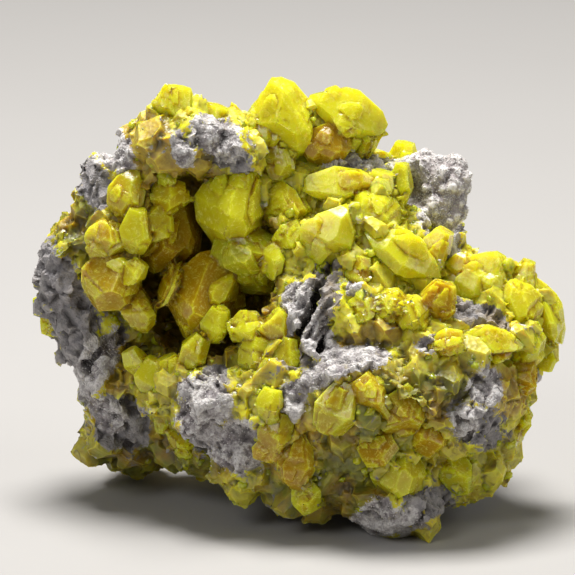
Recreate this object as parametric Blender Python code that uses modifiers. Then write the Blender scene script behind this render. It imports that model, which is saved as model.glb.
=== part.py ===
"""Native sulfur on limestone, a loose hand specimen, in metres with +Z up.

A lump of grey limestone stands on three small feet that lie flat at Z = 0. Its show side faces -Y.
A hollow in the left of that side is lined with one crust of large crystals, a knob coated with
aragonite druse stands at the upper right, and groups of intergrown crystals sit in sockets in the rock.
"""

import math
import random
from collections import namedtuple

import bmesh
import bpy
from mathutils import Matrix, Vector, noise

MM = 0.001
SHOW_PITCH = math.radians(15)  # the show side is laid out as it is seen from 15 degrees above level
MIDDLE = (-0.1, 2.15)  # where the middle of the outline lies, across and back, in mm
GAP = 0.35 * MM  # clearance between a crystal and the rock or the crystals that hold it
ROCK_GRAIN = 1.1 * MM  # cell size that melts the lobes of the rock into one lump
ROCK_TRIANGLES = 1050
CRAGS = 1.3 * MM  # how far the rock's surface strays from its lobes
CRAG_SIZE = 7 * MM
KNOB_GRAIN = 0.7 * MM
KNOB_TRIANGLES = 360
CRUST = 1.5 * MM  # thickness of the sulfur that lines the hollow
SEED = 7
FUSED_SEED = 100
BLOCK_OVER_ROCK = 0.2  # edge of the block that trims what would lie below the table, in metres

# Orthorhombic sulfur: the axial ratios, and each form's face, its distance and how many faces it has.
CELL = (0.813, 1.0, 1.903)
NOMINAL = Vector((1.357, 1.243, 1.40))  # half sizes of the crystal that these distances give
HABITS = {
    "full": (((1, 1, 1), 1.00), ((1, 1, 3), 1.15), ((0, 1, 1), 1.10), ((0, 0, 1), 1.40)),
    "plain": (((1, 1, 1), 1.00), ((0, 1, 1), 1.10), ((0, 0, 1), 1.40)),
    "block": (((1, 1, 0), 1.05), ((1, 1, 3), 1.22), ((0, 0, 1), 1.40), ((0, 1, 0), 1.24)),
}
UNEVEN = 0.14  # how far a face's distance strays, as a share

# A lobe of rock: the middle across, up and back as seen from the show side, and half sizes, in mm.
Lobe = namedtuple("Lobe", "across up back wide deep tall")
ROCK = {
    "core": Lobe(3, 30, 5, 26, 16, 22),
    "brow": Lobe(17, 21, -9, 19, 15, 12),
    "brow left": Lobe(-1, 18, -11, 10, 9, 9),
    "belly": Lobe(9, 11, -9, 16, 11, 11),
    "front foot": Lobe(15.5, 2, -14, 9, 8.5, 6.5),
    "foot left": Lobe(3, 5.5, -10, 9, 9, 6.5),
    "low right": Lobe(26, 9.5, -4, 9.5, 12, 8.5),
    "right flank": Lobe(31, 20.5, -2, 8, 14, 11),
    "shoulder": Lobe(30, 31, 0, 9, 11, 6.5),
    "ridge": Lobe(9, 32, -5, 14, 11, 9),
    "ridge top": Lobe(12.5, 46, 4, 10, 8, 7.5),
    "summit base": Lobe(3.5, 56, 11, 11, 8, 7),
    "roof": Lobe(-18.8, 62.0, 4, 8.6, 9, 6.4),
    "roof right": Lobe(-10.8, 60.2, 3.5, 5.8, 7.5, 5.8),
    "roof left": Lobe(-25.5, 57.5, 7, 5.5, 8, 6.5),
    "wall top": Lobe(-32, 51, 11, 5, 8, 9),
    "wall middle": Lobe(-38, 41, 9.5, 5.5, 8, 8.5),
    "wall point": Lobe(-41.5, 37.6, 9, 3.2, 5, 3.6),
    "wall low": Lobe(-36, 30.5, 9, 5.2, 8, 8.5),
    "neck": Lobe(-31, 21, 7, 5.5, 9, 7),
    "left lobe": Lobe(-29.5, 14.5, 6, 7, 8, 7),
    "left foot": Lobe(-27.5, 10.2, 16, 6.5, 7, 6.2),
    "left root": Lobe(-23, 15, 12, 9, 9, 8),
    "left bump": Lobe(-33.5, 10.5, 7, 2.8, 5, 3.6),
    "underside": Lobe(-14, 12.5, 3, 10, 9, 8),
    "hollow floor": Lobe(-15, 21, -3, 12, 10, 7),
    "druse bulge": Lobe(-12.5, 17, -11, 8, 6, 6.5),
    "druse foot": Lobe(-8.5, 8, -12, 6, 6, 6),
    "back": Lobe(1, 34, 15, 31, 13, 24),
    "back foot": Lobe(15, 11, 18, 12, 9, 7.5),
    "back base": Lobe(0, 17, 13, 26, 12, 9),
    "back left": Lobe(-27, 37, 14, 10, 9, 16),
    "back top": Lobe(-12, 53, 14, 16, 9, 10),
}
KNOB = {
    "stem": Lobe(19.5, 50, 9, 6, 5, 5.5),
    "face": Lobe(23.5, 53.0, 8, 5.0, 4.5, 4.2),
    "brow": Lobe(25.4, 56.0, 9, 3.0, 3.5, 2.8),
    "side": Lobe(26.4, 51.6, 8, 2.2, 3.5, 3.2),
    "cheek": Lobe(22.5, 49.2, 7, 5.0, 4, 3.6),
    "chin": Lobe(22.0, 46.2, 7, 4.0, 3.5, 2.6),
    "crown": Lobe(19.5, 57.0, 9, 5, 3.5, 2.0),
    "tail": Lobe(25.0, 42.5, 8, 1.4, 3, 3.4),
}
HOLLOW = Lobe(-17.4, 40.0, -2, 15.2, 14.5, 16.8)

# A crystal: the middle across, up and back as above, its three sizes in mm, then its lean to the right,
# its nod to the front and its spin about its own length in degrees, and its habit.
Crystal = namedtuple("Crystal", "across up back wide deep tall lean nod spin habit")
GROUPS = {
    "summit_crystals": (
        Crystal(-2.2, 64.9, 5.5, 12.6, 12.0, 14.6, -16, 8, 20, "full"),
        Crystal(-3.2, 57.6, 4.0, 7.8, 8.0, 8.8, 6, -6, 35, "plain"),
        Crystal(8.3, 66.0, 7.5, 9.8, 10.0, 13.2, 118, 0, 25, "full"),
        Crystal(4.8, 60.9, 5.5, 9.8, 9.0, 8.8, 20, -8, 40, "full"),
        Crystal(-6.2, 63.6, 5.0, 8.6, 9.0, 9.8, 14, 0, 35, "full"),
    ),
    "floor_crystals": (
        Crystal(-13.6, 30.9, -7.0, 6.0, 7.0, 6.4, 15, 10, 20, "plain"),
        Crystal(-17.2, 26.4, -7.5, 5.8, 6.0, 6.8, 32, 0, 35, "plain"),
        Crystal(-20.4, 22.4, -6.5, 6.0, 7.0, 6.4, -20, 0, 50, "plain"),
        Crystal(-24.2, 22.4, -5.0, 6.4, 7.0, 7.0, 15, 10, 25, "full"),
        Crystal(-26.8, 24.4, -3.0, 4.4, 6.0, 5.2, -30, 0, 10, "plain"),
    ),
    "ridge_crystals": (
        Crystal(6.6, 54.0, 1.5, 7.6, 8.0, 11.8, 84, 0, 20, "full"),
        Crystal(12.7, 48.2, -1.5, 10.2, 10.0, 10.6, -28, 0, 10, "full"),
        Crystal(5.6, 45.4, -4.0, 11.2, 10.0, 12.0, 25, 0, 22, "full"),
        Crystal(17.2, 42.3, -5.5, 9.4, 9.0, 14.0, 125, 0, 15, "full"),
        Crystal(22.5, 42.8, -1.5, 7.4, 7.0, 8.4, 30, 0, 20, "plain"),
        Crystal(13.6, 53.6, 1.5, 5.6, 7.0, 6.4, 10, 0, 30, "plain"),
        Crystal(17.2, 54.4, 2.5, 4.8, 6.0, 6.6, 5, 0, 20, "plain"),
    ),
    "shoulder_crystals": (
        Crystal(30.6, 37.6, 0.0, 14.4, 10.0, 12.6, 28, 0, 20, "full"),
        Crystal(37.3, 37.8, 1.0, 6.8, 7.0, 6.8, 20, 0, 30, "plain"),
        Crystal(36.6, 33.0, -3.5, 9.4, 9.0, 9.8, -20, 0, 10, "full"),
        Crystal(41.0, 32.4, 1.5, 8.2, 9.0, 13.6, -16, 0, 12, "full"),
        Crystal(38.0, 27.2, -6.5, 7.4, 9.0, 8.4, -10, 0, 15, "full"),
        Crystal(41.3, 25.6, -1.0, 3.8, 6.0, 5.6, 0, 0, 30, "plain"),
        Crystal(36.4, 22.4, -7.5, 8.2, 9.0, 8.2, 20, 0, 35, "full"),
    ),
    "front_crystals": (
        Crystal(6.6, 17.4, -20.0, 9.0, 9.0, 9.6, 24, 0, 30, "plain"),
        Crystal(12.4, 19.0, -20.5, 8.0, 9.0, 8.6, -35, 0, 12, "plain"),
        Crystal(17.4, 17.0, -20.0, 9.4, 9.0, 9.0, 40, 0, 35, "plain"),
        Crystal(21.8, 13.0, -18.5, 8.0, 8.0, 7.0, 30, 0, 15, "plain"),
        Crystal(16.8, 6.4, -19.0, 8.6, 8.0, 8.8, 15, 0, 10, "block"),
        Crystal(13.4, 10.6, -20.0, 7.0, 8.0, 6.6, 60, 0, 20, "plain"),
    ),
    "amber_crystals": (
        Crystal(-3.4, 12.6, -18.5, 7.6, 7.0, 8.4, 20, 0, 20, "plain"),
        Crystal(0.2, 8.0, -18.5, 8.0, 7.0, 10.4, 8, 0, 40, "full"),
    ),
    "knob_crystal": (Crystal(18.0, 58.6, 12.5, 6.0, 6.0, 6.0, 8, 0, 20, "plain"),),
    "vug_crystals": (
        Crystal(-10.9, 50.6, 1.5, 13.0, 16.0, 15.6, 14, 0, 8, "full"),
        Crystal(-8.4, 42.2, 1.0, 13.6, 15.0, 14.6, -34, 0, 12, "full"),
        Crystal(-2.2, 50.4, 2.5, 8.4, 13.0, 9.4, -10, 0, 30, "full"),
        Crystal(-1.4, 45.8, -3.0, 5.4, 7.0, 5.8, 50, 10, 20, "plain"),
        Crystal(-3.9, 41.6, -3.5, 5.2, 7.0, 5.8, 12, 8, 15, "block"),
        Crystal(-15.6, 35.9, 0.5, 13.6, 17.0, 14.4, 27, 0, 6, "full"),
        Crystal(-21.0, 37.8, 1.0, 3.4, 13.0, 7.6, 25, 0, 0, "block"),
        Crystal(-22.2, 46.2, 5.5, 13.6, 14.0, 14.8, 28, 0, 15, "full"),
        Crystal(-26.6, 46.4, -2.0, 7.0, 8.0, 7.0, 5, 8, 25, "plain"),
        Crystal(-23.6, 47.6, -1.0, 5.6, 7.5, 5.4, 30, 0, 50, "plain"),
        Crystal(-21.2, 52.2, 1.0, 7.4, 8.0, 5.8, 80, 0, 10, "plain"),
        Crystal(-21.7, 55.0, 0.5, 3.8, 5.0, 3.8, 10, 0, 30, "plain"),
        Crystal(-28.0, 52.0, 2.0, 8.0, 9.0, 9.8, 22, 0, 20, "full"),
        Crystal(-31.4, 44.6, 1.0, 9.0, 9.0, 8.8, 15, 0, 35, "full"),
        Crystal(-30.6, 37.9, -0.5, 12.0, 11.0, 10.8, 30, 10, 12, "full"),
        Crystal(-27.0, 39.6, -4.0, 4.6, 5.5, 4.6, 40, 0, 10, "plain"),
        Crystal(-26.3, 33.2, 0.5, 7.0, 9.0, 7.4, -12, 0, 30, "full"),
    ),
}
CRACK = (2.2, 33.5, -13, 1.3, 9.0, 16.0, 26)  # across, up, back, wide, deep, tall, lean
FUSED = (
    Crystal(-20.4, 66.8, 2.6, 8.4, 7.0, 6.6, 12, 0, 20, "plain"),
    Crystal(-14.4, 65.2, 3.4, 7.4, 6.0, 5.2, 24, 0, 35, "plain"),
    Crystal(-22.1, 15.6, -3.5, 5.0, 6.0, 5.6, 8, 0, 30, "plain"),
    Crystal(-8.6, 30.6, -9.0, 7.0, 8.0, 6.4, 70, 0, 15, "plain"),
    Crystal(-3.4, 30.0, -10.5, 7.0, 8.0, 7.4, 30, 0, 40, "plain"),
    Crystal(-7.0, 26.0, -11.5, 6.4, 7.0, 6.4, 20, 0, 5, "plain"),
    Crystal(-1.6, 25.2, -13.0, 5.6, 7.0, 7.2, 12, 0, 25, "plain"),
    Crystal(-5.4, 21.6, -15.0, 4.8, 6.0, 7.2, 12, 0, 25, "plain"),
    Crystal(10.2, 39.0, -8.5, 5.6, 7.0, 6.0, 10, 0, 20, "plain"),
    Crystal(10.8, 33.4, -12.5, 6.0, 8.0, 6.4, 35, 0, 15, "plain"),
    Crystal(14.8, 34.0, -13.0, 5.0, 8.0, 6.0, 50, 0, 35, "plain"),
    Crystal(18.6, 31.8, -14.0, 7.0, 8.0, 7.4, -20, 0, 10, "plain"),
    Crystal(23.2, 34.4, -11.5, 6.8, 7.0, 7.6, 20, 0, 45, "plain"),
    Crystal(31.0, 28.0, -12.0, 6.6, 8.0, 12.0, 96, 0, 20, "full"),
    Crystal(24.4, 27.6, -16.5, 6.0, 7.0, 7.0, 80, 0, 10, "plain"),
    Crystal(37.0, 15.0, -4.0, 5.4, 8.0, 7.4, 10, 0, 25, "full"),
    Crystal(35.2, 11.8, -5.0, 5.8, 8.0, 6.6, 25, 0, 5, "plain"),
    Crystal(26.4, 6.8, -13.0, 8.0, 8.0, 8.8, -20, 0, 30, "plain"),
    Crystal(31.4, 8.4, -8.0, 7.2, 9.0, 9.2, 20, 0, 15, "plain"),
    Crystal(11.3, 62.2, 8.0, 6.2, 7.0, 8.0, 10, 0, 15, "plain"),
)
LINING = "vug_crystals"  # this group also holds the crust that its crystals grow from

# Crystals that stand on a lobe of the rock: which lobe, how far round it from the show side (to the right)
# and how far up from level in degrees, their width and height in mm, lean, spin and habit.
Perch = namedtuple("Perch", "lobe around rise wide tall lean spin habit")
PERCHED = (
    Perch("back", 150, 38, 9.0, 10.5, 20, 15, "full"),
    Perch("back", 163, 30, 7.0, 8.0, -15, 40, "plain"),
    Perch("back", 146, 24, 6.0, 6.5, 40, 5, "plain"),
    Perch("back", 178, 44, 6.5, 8.0, 5, 25, "plain"),
    Perch("back top", 195, 40, 8.0, 9.0, -20, 30, "full"),
    Perch("back top", 214, 30, 6.5, 7.0, 30, 10, "plain"),
    Perch("back left", 232, 12, 8.5, 9.5, 25, 20, "full"),
    Perch("back left", 224, -8, 6.0, 6.5, -30, 35, "plain"),
    Perch("wall low", 262, 5, 5.5, 6.0, 15, 15, "plain"),
    Perch("shoulder", 112, 20, 7.5, 8.5, -20, 10, "full"),
    Perch("right flank", 118, 8, 7.0, 8.0, 20, 30, "plain"),
    Perch("back foot", 165, 25, 7.0, 7.5, 10, 45, "plain"),
    Perch("back base", 205, 15, 6.5, 7.0, -20, 20, "plain"),
    Perch("belly", 20, 8, 6.0, 6.5, 25, 15, "plain"),
    Perch("foot left", -10, -4, 6.0, 6.0, -20, 35, "plain"),
    Perch("brow left", -20, 12, 5.5, 6.0, 10, 10, "plain"),
    Perch("underside", -30, 0, 5.0, 6.0, -35, 25, "plain"),
)

COLOURS = {
    "sulfur": ((0.80, 0.72, 0.03), 0.25),
    "limestone": ((0.42, 0.40, 0.38), 0.90),
    "aragonite": ((0.70, 0.67, 0.64), 0.75),
}


def seen(across, up, back):
    """The point that is so far across and up on the show side, at that depth; millimetres to metres."""
    height = (up - back * math.sin(SHOW_PITCH)) / math.cos(SHOW_PITCH)
    return Vector((across - MIDDLE[0], back - MIDDLE[1], height)) * MM


def new_collection(name, hidden=False):
    collection = bpy.data.collections.new(name)
    bpy.context.scene.collection.children.link(collection)
    collection.hide_render = hidden
    return collection


def new_object(name, bm, collection, material=None):
    mesh = bpy.data.meshes.new(name)
    bm.to_mesh(mesh)
    bm.free()
    obj = bpy.data.objects.new(name, mesh)
    collection.objects.link(obj)
    if collection.hide_render:
        obj.hide_render = True
        obj.display_type = "WIRE"
    if material:
        obj.data.materials.append(material)
    return obj


def apply_modifiers(obj):
    """Gives the object the mesh that its modifiers make, and removes them."""
    bpy.context.view_layer.update()
    graph = bpy.context.evaluated_depsgraph_get()
    made = bpy.data.meshes.new_from_object(obj.evaluated_get(graph))
    obj.modifiers.clear()
    obj.data = made


def boolean(obj, operation, operand):
    """Joins to the object, or cuts from it, another object or every object of a collection."""
    step = obj.modifiers.new(operation.title(), "BOOLEAN")
    step.operation = operation
    step.solver = "EXACT"
    if isinstance(operand, bpy.types.Collection):
        step.operand_type = "COLLECTION"
        step.collection = operand
    else:
        step.object = operand


def add_lobe(bm, lobe, seed, rough=0.16, grow=0.0, subdivisions=3):
    """Adds one ellipsoid with an uneven surface, grown by so many metres."""
    ball = bmesh.ops.create_icosphere(bm, subdivisions=subdivisions, radius=1.0)["verts"]
    half = Vector((lobe.wide, lobe.deep, lobe.tall)) * MM + Vector((grow,) * 3)
    middle = seen(lobe.across, lobe.up, lobe.back)
    shift = Vector((seed * 3.7, seed * 1.9, seed * 5.3))
    for vert in ball:
        swell = noise.noise(vert.co * 1.4 + shift) + 0.5 * noise.noise(vert.co * 3.3 + shift)
        vert.co = middle + Vector(c * h for c, h in zip(vert.co * (1 + rough * swell), half))


def melted(name, lobes, grain, triangles, collection, material):
    """One closed lump that takes in all the lobes, with facets like broken stone."""
    bm = bmesh.new()
    for seed, lobe in enumerate(lobes.values()):
        add_lobe(bm, lobe, seed)
    obj = new_object(name, bm, collection, material)
    melt = obj.modifiers.new("Melt", "REMESH")
    melt.mode = "VOXEL"
    melt.voxel_size = grain
    apply_modifiers(obj)
    roughen(obj)
    facets = obj.modifiers.new("Facets", "DECIMATE")
    facets.ratio = triangles / (2 * len(obj.data.polygons))
    apply_modifiers(obj)
    return obj


def roughen(obj):
    """Moves the surface in and out in sharp-crested waves, as broken and weathered stone has."""
    start = Vector((*MIDDLE, 0)) * MM
    bm = bmesh.new()
    bm.from_mesh(obj.data)
    bm.normal_update()
    for vert in bm.verts:
        place = (vert.co + start) / CRAG_SIZE
        crest = 0.5 - abs(noise.noise(place)) * 2 + 0.6 * noise.noise(place * 2.1)
        vert.co += vert.normal * CRAGS * crest
    bm.to_mesh(obj.data)
    bm.free()


def faces_of(crystal, seed):
    """The crystal's faces as (outward normal, distance from its middle), and its turn."""
    chance = random.Random(seed)
    half = Vector((crystal.wide, crystal.deep, crystal.tall)) * 0.5 * MM
    stretch = [h / n for h, n in zip(half, NOMINAL)]
    turn = (
        Matrix.Rotation(math.radians(crystal.lean), 3, "Y")
        @ Matrix.Rotation(math.radians(crystal.nod), 3, "X")
        @ Matrix.Rotation(math.radians(crystal.spin), 3, "Z")
    )
    faces = []
    for index, distance in HABITS[crystal.habit]:
        signs = [(1, -1) if i else (1,) for i in index]
        for sx in signs[0]:
            for sy in signs[1]:
                for sz in signs[2]:
                    pole = Vector(s * i / c for s, i, c in zip((sx, sy, sz), index, CELL))
                    pole.normalize()
                    pole = Vector(p / s for p, s in zip(pole, stretch))
                    away = distance * chance.uniform(1 - UNEVEN, 1 + UNEVEN) / pole.length
                    faces.append((turn @ pole.normalized(), away))
    return faces


def perched(perch):
    """The crystal that stands on its lobe as the perch says, its middle a little inside the surface."""
    lobe = ROCK[perch.lobe]
    around, rise = math.radians(perch.around), math.radians(perch.rise)
    east = lobe.wide * math.sin(around) * math.cos(rise)
    north = -lobe.deep * math.cos(around) * math.cos(rise)
    lift = lobe.tall * math.sin(rise)
    up = lobe.up + lift * math.cos(SHOW_PITCH) + north * math.sin(SHOW_PITCH)
    size = (perch.wide, perch.wide, perch.tall)
    return Crystal(lobe.across + east, up, lobe.back + north, *size, perch.lean, 0, perch.spin, perch.habit)


def add_crystal(bm, crystal, seed, grow=0.0):
    """Cuts a block down to the crystal, one natural face at a time, with each face moved out by grow."""
    middle = seen(crystal.across, crystal.up, crystal.back)
    reach = 2.0 * max(crystal.wide, crystal.deep, crystal.tall) * MM
    stone = bmesh.new()
    bmesh.ops.create_cube(stone, size=2 * reach, matrix=Matrix.Translation(middle))
    for normal, distance in faces_of(crystal, seed):
        cut = bmesh.ops.bisect_plane(
            stone,
            geom=stone.verts[:] + stone.edges[:] + stone.faces[:],
            plane_co=middle + normal * (distance + grow),
            plane_no=normal,
            clear_outer=True,
        )["geom_cut"]
        edges = [part for part in cut if isinstance(part, bmesh.types.BMEdge)]
        if edges:
            bmesh.ops.edgeloop_fill(stone, edges=edges)
    bmesh.ops.recalc_face_normals(stone, faces=stone.faces[:])
    piece = bpy.data.meshes.new("crystal")
    stone.to_mesh(piece)
    stone.free()
    bm.from_mesh(piece)
    bpy.data.meshes.remove(piece)


def crystal_object(name, crystal, seed, collection, grow=0.0, material=None):
    bm = bmesh.new()
    add_crystal(bm, crystal, seed, grow)
    return new_object(name, bm, collection, material)


def crack_object(collection):
    """A wedge that is widest at the surface and runs out to an edge inside the rock and at both ends."""
    across, up, back, wide, deep, tall, lean = CRACK
    bm = bmesh.new()
    bmesh.ops.create_cone(bm, cap_ends=True, segments=4, radius1=0.5, radius2=0.5, depth=1)
    bmesh.ops.scale(bm, vec=(wide * MM * 2, tall * MM * 2, deep * MM), verts=bm.verts)
    for vert in bm.verts:
        if vert.co.z < 0:
            vert.co.x *= 0.2
    turn = Matrix.Rotation(math.radians(lean), 4, "Y") @ Matrix.Rotation(math.radians(90), 4, "X")
    bmesh.ops.transform(bm, matrix=Matrix.Translation(seen(across, up, back)) @ turn, verts=bm.verts)
    return new_object("crack", bm, collection)


def material_of(name):
    colour, roughness = COLOURS[name]
    made = bpy.data.materials.new(name)
    made.use_nodes = True
    shader = made.node_tree.nodes["Principled BSDF"]
    shader.inputs["Base Color"].default_value = (*colour, 1)
    shader.inputs["Roughness"].default_value = roughness
    return made


def ball_object(name, lobe, collection, grow):
    bm = bmesh.new()
    add_lobe(bm, lobe, SEED, rough=0.05, grow=grow, subdivisions=2)
    return new_object(name, bm, collection)


def build():
    for old in list(bpy.data.objects):
        bpy.data.objects.remove(old)
    specimen = new_collection("native_sulfur_specimen")
    helpers = new_collection("helpers", hidden=True)
    sulfur, limestone, aragonite = map(material_of, COLOURS)

    crack = crack_object(helpers)
    matrix = melted("matrix", ROCK, ROCK_GRAIN, ROCK_TRIANGLES, specimen, limestone)
    fused = new_collection("fused", hidden=True)
    for number, crystal in enumerate(FUSED + tuple(map(perched, PERCHED))):
        crystal_object(f"fused_{number}", crystal, FUSED_SEED + number, fused)
    boolean(matrix, "UNION", fused)
    knob = melted("druse_knob", KNOB, KNOB_GRAIN, KNOB_TRIANGLES, specimen, aragonite)

    bm = bmesh.new()
    bmesh.ops.create_cube(bm, size=BLOCK_OVER_ROCK, matrix=Matrix.Translation((0, 0, -BLOCK_OVER_ROCK / 2)))
    below = new_object("below_the_table", bm, helpers)
    boolean(matrix, "DIFFERENCE", crack)
    boolean(matrix, "DIFFERENCE", below)
    apply_modifiers(matrix)

    # The crust lies in the hollow, clear of its wall, and ends at the rock's own surface.
    crust = ball_object(LINING, HOLLOW, specimen, -GAP)
    crust.data.materials.append(sulfur)
    boolean(crust, "INTERSECT", matrix)
    boolean(crust, "DIFFERENCE", ball_object("hollow_inside", HOLLOW, helpers, -GAP - CRUST))
    apply_modifiers(crust)

    sockets = new_collection("sockets", hidden=True)
    seed = SEED
    for name, crystals in GROUPS.items():
        before = list(sockets.objects)
        grown = new_collection("grown_" + name, hidden=True)
        for crystal in crystals:
            seed += 1
            crystal_object(f"{name}_{seed}", crystal, seed, grown)
            crystal_object(f"socket_{seed}", crystal, seed, sockets, grow=GAP)
        if name == LINING:
            group = crust
        else:
            group = grown.objects[0]
            grown.objects.unlink(group)
            specimen.objects.link(group)
            group.name = name
            group.hide_render = False
            group.display_type = "TEXTURED"
            group.data.materials.append(sulfur)
        if grown.objects:
            boolean(group, "UNION", grown)
            apply_modifiers(group)
        near = [socket for socket in before if boxes_meet(socket, group)]
        if near:
            taken = new_collection("taken_before_" + name, hidden=True)
            for socket in near:
                taken.objects.link(socket)
            boolean(group, "DIFFERENCE", taken)
        boolean(group, "DIFFERENCE", below)
        apply_modifiers(group)
        drop_crumbs(group)

    grown_knob = new_object("knob_socket", bmesh_from(knob, GAP), helpers)
    boolean(knob, "DIFFERENCE", sockets)
    boolean(knob, "DIFFERENCE", below)
    apply_modifiers(knob)
    drop_crumbs(knob)
    boolean(matrix, "DIFFERENCE", ball_object("hollow", HOLLOW, helpers, 0.0))
    boolean(matrix, "DIFFERENCE", grown_knob)
    boolean(matrix, "DIFFERENCE", sockets)
    apply_modifiers(matrix)
    drop_crumbs(matrix)


def drop_crumbs(obj):
    """Keeps the largest connected piece of the object; crossing cuts can leave crumbs beside it."""
    bm = bmesh.new()
    bm.from_mesh(obj.data)
    left = set(bm.verts)
    pieces = []
    while left:
        reached = [left.pop()]
        for vert in reached:
            for edge in vert.link_edges:
                other = edge.other_vert(vert)
                if other in left:
                    left.remove(other)
                    reached.append(other)
        pieces.append(reached)
    pieces.sort(key=len)
    for crumb in pieces[:-1]:
        bmesh.ops.delete(bm, geom=crumb, context="VERTS")
    bm.to_mesh(obj.data)
    bm.free()


def boxes_meet(one, other):
    """Whether the two objects' boxes overlap."""
    spans = []
    for obj in (one, other):
        points = [vert.co for vert in obj.data.vertices]
        spans.append([(min(p[k] for p in points), max(p[k] for p in points)) for k in range(3)])
    return all(a[0] < b[1] and b[0] < a[1] for a, b in zip(*spans))


def bmesh_from(obj, grow):
    """The object's mesh with every point moved out along its normal."""
    bm = bmesh.new()
    bm.from_mesh(obj.data)
    bm.normal_update()
    for vert in bm.verts:
        vert.co += vert.normal * grow * vert.calc_shell_factor()
    return bm


build()
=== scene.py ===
"""Dresses the native sulfur specimen: fine rock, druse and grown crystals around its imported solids."""

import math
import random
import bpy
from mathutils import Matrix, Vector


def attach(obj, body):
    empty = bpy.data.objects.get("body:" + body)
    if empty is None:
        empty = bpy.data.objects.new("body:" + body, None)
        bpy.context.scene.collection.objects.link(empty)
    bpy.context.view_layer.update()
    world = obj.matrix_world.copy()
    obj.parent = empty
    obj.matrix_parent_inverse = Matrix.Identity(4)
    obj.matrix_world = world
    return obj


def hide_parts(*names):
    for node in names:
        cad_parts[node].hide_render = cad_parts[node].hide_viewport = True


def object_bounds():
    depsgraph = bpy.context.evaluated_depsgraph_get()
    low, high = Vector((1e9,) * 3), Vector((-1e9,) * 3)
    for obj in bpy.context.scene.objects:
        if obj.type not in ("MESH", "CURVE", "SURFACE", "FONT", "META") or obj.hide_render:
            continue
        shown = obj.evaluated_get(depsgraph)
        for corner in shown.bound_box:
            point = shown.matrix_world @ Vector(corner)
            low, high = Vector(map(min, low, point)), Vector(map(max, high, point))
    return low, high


bl_info = {
    "name": "Native Sulfur Specimen",
    "version": (1, 0, 0),
    "blender": (4, 5, 0),
    "location": "3D View > Sidebar > Sulfur",
    "description": "Builds the rock, the druse and the crystals of a sulfur specimen around its solids",
    "category": "Object",
}

from collections import namedtuple

import bmesh
import bpy
import numpy as np
from bpy.props import FloatProperty, FloatVectorProperty, IntProperty, PointerProperty
from mathutils import Matrix, Vector

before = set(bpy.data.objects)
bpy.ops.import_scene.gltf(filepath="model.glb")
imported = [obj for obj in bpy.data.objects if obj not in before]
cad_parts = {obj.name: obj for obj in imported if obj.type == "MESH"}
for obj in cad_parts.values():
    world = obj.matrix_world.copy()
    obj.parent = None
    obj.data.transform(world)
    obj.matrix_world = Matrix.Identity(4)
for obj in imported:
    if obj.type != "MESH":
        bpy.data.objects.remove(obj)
CAD_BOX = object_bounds()

MM = 0.001
FAR = 9.0  # farther than anything in the specimen, in metres
SLIGHT = 1e-6  # weight of a place that is hardly ever picked
SHOW_PITCH = math.radians(15)  # the show side is laid out as it is seen from 15 degrees above level
MIDDLE = (-0.1, 2.15)  # where the middle of the outline lies, across and back, in mm
SEED = 7  # numbers the large crystals, and so fixes their uneven faces
GAP = 0.35 * MM  # clearance of the solids' sockets

# Orthorhombic sulfur: the axial ratios, and each form's face and its distance.
CELL = (0.813, 1.0, 1.903)
NOMINAL = Vector((1.357, 1.243, 1.40))  # half sizes of the crystal that these distances give
HABITS = {
    "full": (((1, 1, 1), 1.00), ((1, 1, 3), 1.15), ((0, 1, 1), 1.10), ((0, 0, 1), 1.40)),
    "plain": (((1, 1, 1), 1.00), ((0, 1, 1), 1.10), ((0, 0, 1), 1.40)),
    "block": (((1, 1, 0), 1.05), ((1, 1, 3), 1.22), ((0, 0, 1), 1.40), ((0, 1, 0), 1.24)),
}
UNEVEN = 0.14  # how far a face's distance strays, as a share
BLOCK_ROOM = 3.0  # half side of the cube that a crystal is cut from, over its farthest face

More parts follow.
